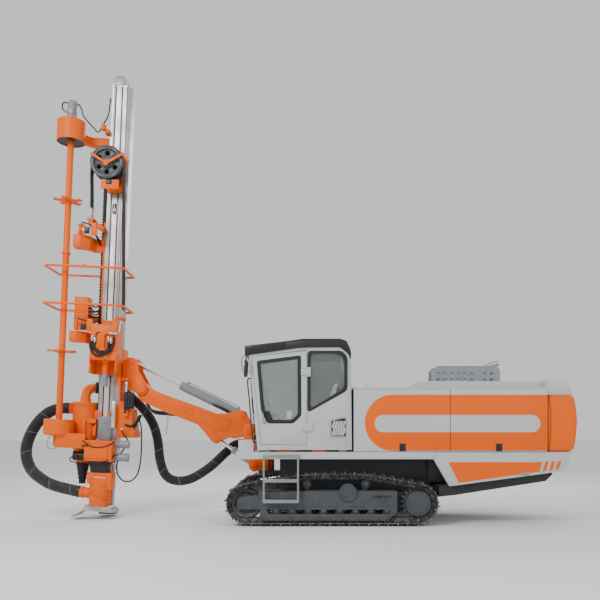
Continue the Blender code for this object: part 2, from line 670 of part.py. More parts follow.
def hood(carrier, door_axes):
    """Engine housing: frame, roof, four top-hinged doors, rounded rear cap and skirts."""
    h = hood_half
    shapes = []
    for x in (hood_front_x, hood_rear_x - 0.04):
        shapes.append(block((x, x + 0.04), (-h, h), (hood_floor, hood_top)))
    for side in (-1, 1):
        edge = tuple(sorted((side * h, side * (h - 0.08))))
        shapes.append(block((hood_seam_x - 0.02, hood_seam_x + 0.02), edge, (hood_floor, hood_top)))
        shapes.append(block((hood_front_x, hood_rear_x), edge, (hood_floor, hood_floor + 0.05)))
        shapes.append(block((hood_front_x, hood_rear_x), edge, (hood_top - 0.05, hood_top)))
    solid("hood_frame", "black", shapes, carrier=carrier)

    roof_low = hood_top + touch
    plate = block((hood_front_x - 0.005, hood_rear_x + 0.02), (-h + 0.005, h - 0.005),
                  (roof_low, roof_low + 0.03))
    raised = [(1.87, roof_low + 0.01), (2.145, 2.30), (hood_rear_x + 0.02, 2.30),
              (hood_rear_x + 0.02, roof_low + 0.01)]
    tail = [(hood_rear_x + touch, cap_top + touch), (4.562, cap_top + touch), (4.47, 2.30),
            (hood_rear_x + touch, 2.30)]
    shapes = [plate, prism(raised, -0.88, 0.88), prism(tail, -h + 0.005, h - 0.005)]
    rack = [(2.39, 2.29), (3.46, 2.29), (3.46, 2.48), (3.40, 2.546), (2.45, 2.546), (2.39, 2.48)]
    for low_y in (-0.86, -0.43):
        shapes.append(prism(rack, low_y, low_y + 0.015))
    for low_x, high_z in ((2.41, 2.49), (3.425, 2.49)):
        shapes.append(block((low_x, low_x + 0.015), (-0.85, -0.42), (2.29, high_z)))
    bend = [(3.36, -0.20, 2.50), (3.37, -0.20, 2.56), (3.42, -0.20, 2.61), (3.50, -0.20, 2.635)]
    shapes.append(tube_mesh(hose_path((3.36, -0.20, 2.29), bend, (3.62, -0.20, 2.65)), 0.05, 2))
    knuckle_z = hood_top + 0.012
    knuckle_y = h + 0.028
    front = hood_front_x + 0.006
    spans = {"front": (front, hood_seam_x - 0.004), "rear": (hood_seam_x + 0.004, hood_rear_x - 0.006)}
    for side in (-1, 1):
        for low_x, high_x in spans.values():
            for share in (0.2, 0.8):
                x = low_x + share * (high_x - low_x) + 0.06 + touch
                shapes.append(rod((x, side * knuckle_y, knuckle_z), (x + 0.04, side * knuckle_y, knuckle_z),
                                  0.0115, 10))
                shapes.append(block((x + 0.004, x + 0.036), tuple(sorted((side * (h - 0.02),
                                                                          side * knuckle_y))),
                                    (roof_low + 0.001, roof_low + 0.018)))
    solid("hood_roof", "panel grey", shapes, carrier=carrier)

    band_low = 1.19
    band_high = 2.07
    middle = (band_low + band_high) / 2
    reach = (band_high - band_low) / 2
    for side, hand in ((-1, "left"), (1, "right")):
        for place, (low_x, high_x) in spans.items():
            inner = side * (h + 0.008)
            outer = side * (h + 0.008 + hood_door_thickness)
            shapes = [block((low_x, high_x), tuple(sorted((inner, outer))),
                            (hood_floor + 0.006, hood_top - 0.003))]
            if place == "front":
                band = arc((low_x + 0.08 + reach, middle), reach, 90, 270, 11)
                band += [(high_x - 0.004, band_low), (high_x - 0.004, band_high)]
            else:
                band = [(low_x + 0.004, band_low), (high_x - 0.004, band_low),
                        (high_x - 0.004, band_high), (low_x + 0.004, band_high)]
            shapes.append(prism(band, *sorted((outer - side * 0.005, outer + side * 0.012))))
            for share in (0.2, 0.8):
                x = low_x + share * (high_x - low_x)
                shapes.append(rod((x - 0.06, side * knuckle_y, knuckle_z),
                                  (x + 0.06, side * knuckle_y, knuckle_z), 0.014, 10))
                shapes.append(block((x - 0.05, x + 0.05),
                                    tuple(sorted((side * (knuckle_y - 0.006), side * (knuckle_y + 0.006)))),
                                    (hood_top - 0.03, knuckle_z)))
            name = "hood_door_" + place + "_" + hand
            solid(name, "panel grey", shapes, carrier=door_axes[name])

    cap = [(hood_rear_x + touch, hood_floor), (4.57, hood_floor), (4.61, 1.45), (4.625, 1.64), (4.605, 1.90),
           (4.565, cap_top), (hood_rear_x + touch, cap_top)]
    solid("rear_cap", "orange", [prism(cap, -h - 0.045, h + 0.045)], carrier=carrier, soften=0.06)

    skirt = [(2.347, hood_floor - touch), (2.347, 1.054), (2.596, 0.624), (4.449, 0.871),
             (4.53, hood_floor - touch)]
    shapes = []
    for side in (-1, 1):
        shapes.append(prism(skirt, *sorted((side * (platform_half + touch), side * 1.10))))
    # the dark pan under the engine joins the two skirts
    pan = [(2.45, 0.45), (2.70, 0.475), (4.15, 0.70), (4.25, 0.80), (4.25, 0.90), (2.62, 0.65), (2.45, 0.62)]
    shapes.append(prism(pan, -platform_half - 0.02, platform_half + 0.02))
    solid("belly_skirts", "panel grey", shapes, carrier=carrier)


def engine_room(carrier):
    """Engine with its compressor as one plain block, standing on the platform."""
    floor = deck_top + touch
    solid("engine_block", "frame grey", [block((1.85, 3.55), (-0.33, 0.33), (floor, 1.86))], carrier=carrier)


def dust_collector(carrier):
    """Filter housing on the right of the deck, and the duct that leads to it."""
    low = deck_top + touch
    housing = [(0.05, 1.62), (0.22, low), (0.88, low), (1.04, 1.62), (1.04, 2.62), (0.98, 2.70),
               (0.11, 2.70), (0.05, 2.62)]
    duct = [(-0.60, duct_y, duct_z), (-0.25, duct_y, duct_z), (-0.12, duct_y, 1.33), (-0.06, duct_y, 1.51),
            (-0.02, duct_y, 1.75), (0.08, duct_y, 1.86)]
    path = hose_path((duct_x, duct_y, duct_z), duct, (0.12, duct_y, 1.88))
    shapes = [prism(housing, 0.42, 1.10), tube_mesh(path, 0.09, 2)]
    solid("dust_collector", "panel grey", shapes, carrier=carrier)


# Boom group


def cylinder(names, base, eye, width, barrel_length, radii, carriers, frame=Matrix(), sideways=(0, 1, 0),
             neck=0.0):
    """Hydraulic cylinder: barrel with base eye and gland, and a chrome rod with its eye.

    radii: barrel, rod, base eye, rod eye, base pin. Rod and pin run in bores a little wider.
    """
    barrel_radius, rod_radius, base_radius, eye_radius, pin_radius = radii
    base = Vector(base)
    eye = Vector(eye)
    side = Vector(sideways)
    along = (eye - base).normalized()
    bore = rod_radius + sliding
    start = base_radius * 0.9 + neck
    profile = [(bore, start + 0.04), (bore, barrel_length), (barrel_radius * 0.82, barrel_length),
               (barrel_radius * 0.82, barrel_length - 0.03), (barrel_radius, barrel_length - 0.05),
               (barrel_radius, start), (0, start)]
    profile = [(0, start + 0.04)] + profile
    shapes = [turned(profile, base, along, 16),
              rod(base - side * width, base + side * width, base_radius, 16),
              rod(base + along * base_radius * 0.5, base + along * (start + 0.02), base_radius * 0.85, 12)]
    pin_hole = rod(base - side * (width + 0.05), base + side * (width + 0.05), pin_radius * pin_fit,
                   pin_sides)
    solid(names[0], "cylinder grey", shapes, [pin_hole], frame=frame, carrier=carriers[0])
    inside = base + along * (start + 0.06 + stroke_in[names[1]])
    shapes = [rod(inside, eye - along * eye_radius * 0.4, rod_radius, 16),
              rod(eye - side * width, eye + side * width, eye_radius, 16)]
    solid(names[1], "chrome", shapes, frame=frame, carrier=carriers[1])


# how far each rod runs into its barrel from rest
stroke_in = {"tilt_rod": 0.58, "lift_rod": 0.12, "swing_rod": 0.115}


def boom_group(axes):
    """Post, boom, head bracket and the lift and tilt cylinders."""
    y = boom_y
    ear = [(post_x + 0.02, post_bottom + 0.005), (-0.50, post_bottom + 0.005), (-0.53, 0.785),
           (-0.59, 0.785),
           (-0.65, 0.84), (-0.70, 1.10), (-0.76, 1.42), (-0.76, 1.57), (-0.71, 1.622), (-0.59,
                   1.622), (-0.54, 1.57),
           (-0.53, post_top - 0.005), (post_x + 0.02, post_top - 0.005)]
    shapes = [rod((post_x, y, post_bottom), (post_x, y, post_top), post_radius, 24),
              block((-0.44, post_x + 0.03), (y - ear_outer + 0.005, y + ear_outer - 0.005),
                    (post_bottom + 0.01, post_top - 0.01))]
    for side in (-1, 1):
        shapes.append(prism(ear, *sorted((y + side * ear_inner, y + side * ear_outer))))
        shapes.append(rod((lift_pivot[0], y + side * (ear_inner + 0.01), lift_pivot[1]),
                          (lift_pivot[0], y + side * (ear_outer + 0.02), lift_pivot[1]), 0.075, 16))
        shapes.append(rod((lift_base[0], y + side * 0.075, lift_base[1]),
                          (lift_base[0], y + side * (ear_outer + 0.015), lift_base[1]), 0.04, 12))
    for at, radius in ((lift_pivot, lift_pin), (lift_base, barrel_pin)):
        shapes.append(rod((at[0], y - ear_inner - 0.01, at[1]), (at[0], y + ear_inner + 0.01, at[1]),
                          radius, pin_sides))
    bore = rod((post_x, y, post_bottom - 0.1), (post_x, y, post_top + 0.1), post_pin_radius * pin_fit,
               pin_sides)
    solid("boom_post", "orange", shapes, [bore], carrier=axes["boom_swing"])

    outline = arc(lift_pivot, 0.10, -60, 60, 5)
    outline += [(-0.699, 1.769), (-0.72, 1.835), (-0.761, 1.859), (-0.869, 1.859), (-1.052, 1.804),
                (-1.250, 1.804), (-1.574, 1.932), (-2.243, 2.167), (-2.40, 2.245)]
    outline += arc(head_pin, 0.11, 60, 215, 7)
    outline += [(-2.586, 2.075), (-2.549, 2.022), (-2.117, 1.824), (-1.556, 1.606), (-1.340, 1.353),
                (-1.300, 1.300), (-1.232, 1.272), (-1.142, 1.326), (-1.015, 1.381), (-0.907, 1.362)]
    shapes = [prism(outline, y - boom_half, y + boom_half)]
    # raised side panels: corners along the upper and lower edge, front then rear
    panels = [[(-2.10, 2.02), (-2.02, 1.90), (-1.66, 1.765), (-1.62, 1.87)],
              [(-1.56, 1.85), (-1.50, 1.68), (-1.28, 1.50), (-1.02, 1.50), (-0.98, 1.70)]]
    for side in (-1, 1):
        for panel in panels:
            shapes.append(prism(panel, *sorted((y + side * (boom_half - 0.004),
                                                y + side * (boom_half + 0.006)))))
    cuts = [block((-1.12, -0.40), (y - 0.095, y + 0.095), (1.655, 2.2)),
            block((-1.42, -1.10), (y - 0.05, y + 0.05), (1.10, 1.47))]
    for at, radius in ((lift_pivot, lift_pin), (head_pin, head_pin_radius)):
        cuts.append(rod((at[0], y - 0.3, at[1]), (at[0], y + 0.3, at[1]), radius * pin_fit, pin_sides))
    bare = solid("boom_bare", "orange", shapes, cuts)
    pin = rod((tilt_base[0], y - 0.11, tilt_base[1]), (tilt_base[0], y + 0.11, tilt_base[1]), tilt_pin,
              pin_sides)
    mesh = bare.data
    bpy.data.objects.remove(bare)
    solid("boom", "orange", [mesh, pin], carrier=axes["boom_lift"])

    plate = [(-2.878, 2.700), (-2.767, 2.780), (-2.677, 2.783), (-2.60, 2.72), (-2.586, 2.66),
             (-2.586, 2.564), (-2.50, 2.40), (-2.459, 2.320)]
    plate += arc(head_pin, 0.11, 30, -100, 7)
    plate += [(-2.780, 2.225), (-2.811, 2.238), (-2.822, 2.383), (-2.868, 2.392)]
    shapes = []
    for side in (-1, 1):
        shapes.append(prism(plate, *sorted((y + side * bracket_inner, y + side * bracket_outer))))
        shapes.append(rod((head_pin[0], y + side * (bracket_inner + 0.01), head_pin[1]),
                          (head_pin[0], y + side * (bracket_outer + 0.015), head_pin[1]), 0.085, 20))
        shapes.append(rod((tilt_eye[0], y + side * (bracket_inner + 0.01), tilt_eye[1]),
                          (tilt_eye[0], y + side * (bracket_outer + 0.008), tilt_eye[1]), 0.05, 16))
    shapes.append(rod((head_pin[0], y - bracket_inner - 0.01, head_pin[1]),
                      (head_pin[0], y + bracket_inner + 0.01, head_pin[1]), head_pin_radius, pin_sides))
    arm_z = on_mast(*swing_eye).z + 0.042
    back_low = min(on_mast(swing_face_u, y, swing_w).z - 0.12, head_pin[1] + 0.16)
    shapes.append(block((-2.876, -2.812), (y - bracket_outer + 0.01, y + bracket_outer - 0.01),
                        (back_low, max(back_low + 0.30, 2.69))))
    shapes.append(block((-2.850, -2.725), (-0.05, y - bracket_inner - 0.01), (arm_z, arm_z + 0.048)))
    shapes.append(rod(on_mast(swing_face_u, y, swing_w), on_mast(swing_face_u + bearing_depth, y, swing_w),
                      0.16, 20))
    cuts = [rod(on_mast(swing_face_u - 0.3, y, swing_w), on_mast(swing_face_u, y, swing_w), 0.45, 24)]
    solid("boom_bracket", "orange", shapes, cuts, carrier=axes["mast_tilt"])

    cylinder(("tilt_barrel", "tilt_rod"), (tilt_base[0], y, tilt_base[1]), (tilt_eye[0], y, tilt_eye[1]),
             0.088, 1.229, (0.0825, 0.032, 0.068, 0.054, tilt_pin), (axes["tilt_barrel"], axes["tilt_rod"]))
    cylinder(("lift_barrel", "lift_rod"), (lift_base[0], y, lift_base[1]), (lift_eye[0], y, lift_eye[1]),
             0.045, 0.50, (0.062, 0.030, 0.050, 0.050, barrel_pin), (axes["lift_barrel"], axes["lift_rod"]))


def cradle(axes):
    """Sliding cradle behind the beam, with its clamps, and the black swing cylinder."""
    y = boom_y
    low = swing_w - 1.14
    box = [(cradle_front_u, low + 0.66), (0.45, low + 0.50), (0.50, low + 0.14), (0.53, low + 0.11),
           (0.53, low + 0.01), (cradle_front_u, low - 0.005)]
    shapes = [block((cradle_front_u, cradle_rear_u), cradle_sides, (low, low + 1.56)),
              prism(box, *cradle_sides)]
    for low_v, high_v in ((beam_near_v - 0.035, beam_near_v - sliding),
                          (beam_far_v + sliding, beam_far_v + 0.035)):
        for start, end in ((0.15, 0.55), (0.91, 1.51)):
            shapes.append(block((beam_half_u + 0.03, cradle_front_u + 0.01), (low_v, high_v),
                                (low + start, low + end)))
    shapes.append(rod((cradle_rear_u - 0.01, y, swing_w), (swing_face_u - touch, y, swing_w), 0.14, 24))
    bu, bv, bw = swing_base
    shapes.append(block((bu - 0.04, bu + 0.04), (bv - 0.03, 0.06), (bw - 0.08, bw - 0.031)))
    for edge in (-1, 1):
        span = tuple(sorted((bu + edge * 0.024, bu + edge * 0.04)))
        shapes.append(block(span, (bv - 0.03, 0.06), (bw - 0.06, bw + 0.02)))
    shapes.append(rod((bu - 0.03, bv, bw), (bu + 0.03, bv, bw), swing_pin, pin_sides))
    solid("cradle", "orange", shapes, frame=mast_frame, carrier=axes["mast_swing"])
    cylinder(("swing_barrel", "swing_rod"), swing_base, swing_eye,
             0.020, 0.34, (0.036, 0.020, 0.0255, 0.026, swing_pin), (axes["swing_barrel"],
                                                                     axes["swing_rod"]),
             frame=mast_frame, sideways=(1, 0, 0), neck=0.012)


# Mast


def mast_beam(carrier):
    """Aluminium feed beam with its rear rail, chain sheave on top and foot below."""
    middle_v = (beam_near_v + beam_far_v) / 2
    shapes = [block((-beam_half_u, beam_half_u), (beam_near_v, beam_far_v), (beam_low_w, beam_high_w)),
              block((beam_half_u - 0.01, cradle_front_u - 0.005), (beam_near_v + 0.02, beam_far_v - 0.02),
                    (beam_low_w + 0.1, beam_high_w - 0.05))]
    cuts = []
    for u in (-0.055, 0.055):
        cuts.append(block((u - 0.012, u + 0.012), (beam_near_v - 0.02, beam_near_v + 0.02),
                          (1.36, beam_high_w - 0.03)))
    cheek = [(-0.11, beam_high_w - 0.01), (0.11, beam_high_w - 0.01), (0.11, 7.66), (0.06, 7.72),
             (-0.06, 7.72), (-0.11, 7.66)]
    shapes += [prism(cheek, middle_v - 0.11, middle_v - 0.085),
               prism(cheek, middle_v + 0.085, middle_v + 0.11),
               rod((0, middle_v - 0.09, 7.645), (0, middle_v + 0.09, 7.645), 0.095, 20)]
    # the foot bar runs down from the beam to the ground pad
    shapes += [block((0.06, 0.16), (0.16, 0.30), (0.10, beam_low_w + 0.01)),
               prism([(-0.05, 0.055), (0.22, 0.045), (0.24, 0.075), (0.20, 0.125), (-0.03, 0.125),
                      (-0.07, 0.085)],
                     0.11, 0.35)]
    solid("mast_beam", "aluminium", shapes, cuts, frame=mast_frame, carrier=carrier)


def clamp_table(carrier):
    """Rod clamp and breakout block at the mast's foot, with two pairs of cylinders."""
    v = drill_v
    shapes = [block((-0.22, 0.25), (-0.34, 0.0), (0.985, 1.335)),
              block((-0.12, 0.12), (-0.01, beam_near_v - touch), (0.995, 1.325)),
              block((-0.12, passing_u), (-0.28, beam_near_v - touch), (0.80, 1.0))]
    for w, radius in ((1.285, 0.062), (1.06, 0.066)):
        shapes.append(rod((0.24, v, w), (0.49, v, w), radius, 16))
        shapes.append(rod((-0.21, v, w), (-0.44, v, w), radius, 16))
    cuts = [rod((drill_u, v, 0.7), (drill_u, v, 1.5), 0.095, 20)]
    return solid("clamp_table", "orange", shapes, cuts, frame=mast_frame, carrier=carrier)


def dust_hood(carrier):
    """Suction hood round the drill hole, its side plate, suction stub and rubber skirt."""
    v = drill_v
    shapes = [turned([(0.165, 0), (0.18, 0), (0.18, 0.40), (0.10, 0.42), (0.10, 0.40), (0.165, 0.38)],
                     (drill_u, v, 0.225), (0, 0, 1), 24),
              rod(stub_start, stub_end, 0.092, 16),
              block((-0.11, passing_u), (v + 0.13, beam_near_v - touch), (0.56, 0.79)),
              block((0.155, 0.25), (v - 0.12, v + 0.14), (0.50, 0.79)),
              block((-0.17, 0.17), (v - 0.12, v + 0.14), (0.60, 0.79))]
    cuts = [rod((drill_u, v, 0.55), (drill_u, v, 1.0), 0.095, 20)]
    solid("dust_hood", "orange", shapes, cuts, frame=mast_frame, carrier=carrier)

    sheet = [(-0.40, 0.030), (-0.385, 0.014), (-0.17, 0.150), (0.31, 0.128), (0.315, 0.150), (0.22, 0.2247),
             (-0.15, 0.2247), (-0.20, 0.175)]
    cuts = [rod((drill_u, v, 0.0), (drill_u, v, 0.4), 0.10, 20)]
    solid("hood_skirt", "pale rubber", [prism(sheet, v - 0.22, v + 0.22)], cuts, frame=mast_frame,
          carrier=carrier)


def cyclone(carrier):
    """Pre-separator beside the beam: drum, cone, outlet elbow and rubber dust sleeve."""
    u = -0.385
    v = 0.165
    top = inlet_w + 0.09
    profile = [(0, 0.93), (0.115, 0.93), (0.125, 0.98), (0.20, 1.22), (0.205, 1.24), (0.205, top),
               (0.215, top), (0.215, top + 0.025), (0.09, top + 0.03), (0.09, top + 0.09), (0, top + 0.09)]
    shapes = [turned(profile, (u, v, 0), (0, 0, 1), 24),
              rod((u - 0.15, inlet_v, inlet_w), (inlet_u, inlet_v, inlet_w), 0.10, 16),
              block((u + 0.15, -beam_half_u - touch), (v - 0.08, v + 0.08), (1.35, 1.50)),
              block((u + 0.15, -beam_half_u - touch), (v - 0.08, v + 0.08), (1.70, 1.85))]
    rise = outlet_w - top
    elbow = [(u, v, top + 0.41 * rise), (-0.38, 0.21, top + 0.72 * rise), (-0.36, 0.34, outlet_w - 0.015),
             (-0.32, 0.45, outlet_w), (-0.24, outlet_v, outlet_w)]
    shapes.append(tube_mesh(hose_path((u, v, top + 0.07), elbow, (outlet_u, outlet_v, outlet_w)), 0.085, 2))
    solid("cyclone", "orange", shapes, frame=mast_frame, carrier=carrier)
    sleeve = [(0, 0.555), (0.055, 0.555), (0.065, 0.60), (0.118, 0.90), (0.118, 0.93 - touch),
              (0, 0.93 - touch)]
    solid("cyclone_sleeve", "rubber", [turned(sleeve, (u, v, 0), (0, 0, 1), 16)], frame=mast_frame,
          carrier=carrier)


def carousel(axes):
    """Rod carousel: fixed drum with motor above, fixed housing below, turning star plates between."""
    u = carousel_u
    v = carousel_v
    top = axes["mast_slide"]
    shapes = [turned([(0, 6.42), (0.225, 6.42), (0.23, 6.44), (0.23, 6.73), (0.215, 6.76), (0.09, 6.76),
                      (0.09, 6.82), (0.075, 6.82), (0.075, 7.10), (0, 7.10)], (u, v, 0), (0, 0, 1), 24),
              prism([(-0.71, -0.02), (-0.71, 0.03), (-0.46, 0.25), (-beam_half_u - touch, 0.25),
                     (-beam_half_u - touch, 0.115), (-0.44, 0.10), (-0.57, -0.04)], 6.48, 6.62, "Z")]
    solid("carousel_drum", "orange", shapes, frame=mast_frame, carrier=top)
    shapes = [turned([(0, 1.215), (0.085, 1.215), (0.085, 1.36), (0.12, 1.385), (0.23, 1.40), (0.25, 1.42),
                      (0.25, 1.655), (0.24, 1.67), (0, 1.67)], (u, v, 0), (0, 0, 1), 24),
              block((-0.70, -0.22 - touch), (-0.335, -0.265), (1.19, 1.44))]
    solid("carousel_base", "orange", shapes, frame=mast_frame, carrier=top)

    low = 1.67 + 0.0005
    high = 6.42 - 0.0005
    shapes = [turned([(0, low), (0.055, low), (0.055, 4.49), (0.075, 4.49), (0.075, 4.53), (0.055, 4.53),
                      (0.055, high), (0, high)], (u, v, 0), (0, 0, 1), 16)]
    for w in (2.832, 5.406):
        shapes.append(prism(star((u, v)), w - 0.012, w + 0.012, "Z"))
    solid("carousel", "orange", shapes, frame=mast_frame, carrier=axes["carousel"])


def star(centre):
    """Outline of a plate with a round slot for each drill rod in its rim."""
    pitch_radius = star_radius - 0.02
    slot = 0.085
    half = math.degrees(math.acos((star_radius ** 2 + pitch_radius ** 2 - slot ** 2)
                                  / (2 * star_radius * pitch_radius)))
    inside = math.degrees(math.acos((pitch_radius ** 2 + slot ** 2 - star_radius ** 2)
                                    / (2 * pitch_radius * slot)))
    outline = []
    for i in range(rod_slots):
        facing = 360 * (i + 0.3) / rod_slots
        angle = math.radians(facing)
        middle = (centre[0] + pitch_radius * math.cos(angle), centre[1] + pitch_radius * math.sin(angle))
        outline += arc(middle, slot, facing - 180 + inside, facing - 180 - inside, 9)[1:]
        outline += arc(centre, star_radius, facing + half, facing + 360 / rod_slots - half, 4)[1:]
    return outline


def rod_arms(carrier):
    """Gripper arms, valve box and hose clip on a strip beside the beam, and the guard hoops."""
    edge = -beam_half_u - touch
    shapes = [block((-0.175, edge), (0.10, 0.20), (3.0, 5.14))]
    # height of the arm's middle, half height
    for w, half in ((4.73, 0.11), (3.10, 0.09)):
        outline = [(edge, 0.10), (edge, 0.20), (-0.34, 0.19), (-0.44, 0.02), (-0.60, -0.02), (-0.62, -0.08),
                   (-0.53, -0.09), (-0.50, -0.13), (-0.60, -0.16), (-0.60, -0.22), (-0.48, -0.22), (-0.34,
                                                                                                    -0.10),
                   (-0.30, 0.09)]
        shapes.append(prism(outline, w - half, w + half, "Z"))
    shapes += [block((-0.58, -0.34), (-0.06, 0.17), (3.25, 3.80)),
               block((-0.36, -0.16), (0.11, 0.165), (3.40, 3.50)),
               block((-0.38, -0.30), (-0.15, 0.02), (5.06, 5.14 - touch)),
               block((-0.345, -0.16), (0.11, 0.19), (5.07, 5.12)),
               block((-0.345, -0.305), (-0.01, 0.18), (5.07, 5.12))]
    solid("rod_arms", "orange", shapes, frame=mast_frame, carrier=carrier)
    bar = 0.0175
    far = beam_far_v + bar + touch
    near = -0.40
    low_u = -1.0
    high_u = 0.33
    shapes = [block((-0.06, 0.06), (beam_far_v + touch, far + 0.005), (3.61, 4.26))]
    for w in (4.25, 3.62):
        reach = 0.06
        corners = []
        for cu, cv, start in ((high_u, far, 0), (low_u, far, 90), (low_u, near, 180), (high_u, near, 270)):
            centre = (cu - math.copysign(reach, cu + 0.3), cv - math.copysign(reach, cv))
            corners += arc(centre, reach, start, start + 90, 4)
        ring = solid("ring", "orange", [prism(offset_loop(corners, bar), w - bar, w + bar, "Z")],
                     [prism(offset_loop(corners, -bar), w - 0.1, w + 0.1, "Z")])
        shapes.append(ring.data)
        bpy.data.objects.remove(ring)
    solid("guard_hoops", "orange", shapes, frame=mast_frame, carrier=carrier)


def offset_loop(loop, amount):
    """A closed counter-clockwise loop moved outwards by an amount."""
    count = len(loop)
    moved = []
    for i in range(count):
        before = Vector(loop[i - 1])
        after = Vector(loop[(i + 1) % count])
        along = (after - before).normalized()
        moved.append(tuple(Vector(loop[i]) + amount * Vector((along.y, -along.x))))
    return moved


def hose_wheel(axes):
    """Half-speed carriage with the hose wheel, and the bundles that run over it."""
    u = -0.10
    w = 6.11
    back = beam_near_v - sliding
    plate = [(-0.12, 5.65), (0.12, 5.65), (0.20, 6.24), (0.10, 6.38), (-0.30, 6.38), (-0.42, 6.30)]
    shapes = [prism(plate, back - 0.03, back),
              rod((u, back - 0.02, w), (u, -0.185, w), 0.04, 16)]
    solid("wheel_carriage", "orange", shapes, frame=mast_frame, carrier=axes["wheel_feed"])
    near = -0.165
    far = 0.03
    profile = [(0.0405, 0), (0.10, 0), (0.10, 0.03), (0.215, 0.03), (0.225, 0), (0.286, 0), (0.286, 0.012),
               (0.255, 0.022), (0.255, far - near - 0.022), (0.286, far - near - 0.012), (0.286, far - near),
               (0.225, far - near), (0.215, far - near - 0.03), (0.10, far - near - 0.03), (0.10,
                                                                                            far - near),
               (0.0405, far - near)]
    cuts = []
    for i in range(6):
        angle = math.pi * (i + 0.5) / 3
        place = (u + 0.158 * math.cos(angle), w + 0.158 * math.sin(angle))
        cuts.append(rod((place[0], near - 0.1, place[1]), (place[0], far + 0.1, place[1]), 0.042, 10))
    solid("hose_wheel", "frame grey", [turned(profile, (u, near, w), (0, 1, 0), 24)], cuts,
          frame=mast_frame, carrier=axes["hose_wheel"])

    inner = 0.257 + touch
    outer = 0.285
    span = (near + 0.024, far - 0.024)
    bundle = arc((u, w), outer, 0, 180, 15) + [(-0.36, 5.14), (-0.325, 5.14)]
    bundle += arc((u, w), inner, 180, 0, 15) + [(0.25, 3.46), (0.285, 3.46)]
    solid("feed_hoses", "rubber", [prism(bundle, *span)], frame=mast_frame, carrier=axes["wheel_feed"])


def rotary_head(axes):
    """Rotary head on its guide shoe, with the guard skirt, the hose bracket and the spindle."""
    back = beam_near_v - sliding
    shapes = [block((-0.19, 0.25), (-0.34, 0.03), (2.83, 3.30)),
              block((-0.12, 0.12), (0.02, back), (2.75, 3.42)),
              block((-0.20, 0.26), (-0.35, 0.03), (2.70, 2.84)),
              block((0.20, 0.30), (-0.13, 0.0), (3.40, 3.46 - touch)),
              block((0.10, 0.25), (-0.13, 0.0), (3.20, 3.44))]
    for u in (-0.20, 0.245):
        shapes.append(block((u, u + 0.015), (-0.35, 0.03), (2.47, 2.71)))
    shapes.append(block((-0.20, 0.26), (0.015, 0.03), (2.47, 2.71)))
    solid("rotary_head", "orange", shapes, frame=mast_frame, carrier=axes["head_feed"])
    profile = [(0, 2.26), (0.04, 2.26), (0.048, 2.27), (0.048, 2.48), (0.055, 2.50), (0.055, 2.70 - touch),
               (0, 2.70 - touch)]
    solid("spindle", "steel", [turned(profile, (drill_u, drill_v, 0), (0, 0, 1), 16)],
          frame=mast_frame, carrier=axes["spindle"])


def hoses(axes):
    """Front suction hose from hood to cyclone, rear hose from the cyclone to the dust duct."""
    along = (Vector(stub_end) - Vector(stub_start)).normalized()
    begin = Vector(stub_end) + along * touch
    knots = [on_mast(*(begin + along * 0.06)), (-3.93, -0.16, 0.55), (-4.14, -0.15, 0.64),
             (-4.38, -0.10, 0.82), (-4.50, -0.04, 1.07), (-4.49, 0.02, 1.33), (-4.37, 0.08, 1.61),
             (-4.19, 0.14, 1.81), (-4.00, 0.18, 1.89), on_mast(inlet_u - 0.05, inlet_v, inlet_w)]
    path = hose_path(on_mast(*begin), knots, on_mast(inlet_u - touch, inlet_v, inlet_w))
    tube("front_suction_hose", "rubber", path, 0.098, 2, Matrix(), axes["mast_slide"])
    knots = [on_mast(outlet_u + 0.06, outlet_v, outlet_w), (-3.06, 0.585, 2.24), (-2.86, 0.62, 2.12),
             (-2.60, 0.64, 1.86), (-2.44, 0.64, 1.60), (-2.36, 0.64, 1.30), (-2.32, 0.65, 0.95),
             (-2.22, 0.67, 0.68), (-2.02, 0.70, 0.58), (-1.76, 0.76, 0.62), (-1.44, 0.83, 0.82),
             (-1.18, 0.89, 1.06), (-1.00, duct_y, 1.22), (-0.88, duct_y, duct_z)]
    path = hose_path(on_mast(outlet_u + touch, outlet_v, outlet_w), knots, (duct_x - touch, duct_y, duct_z),
                     2)
    tube("rear_suction_hose", "rubber", path, 0.085, 2, Matrix(), axes["boom_lift"])


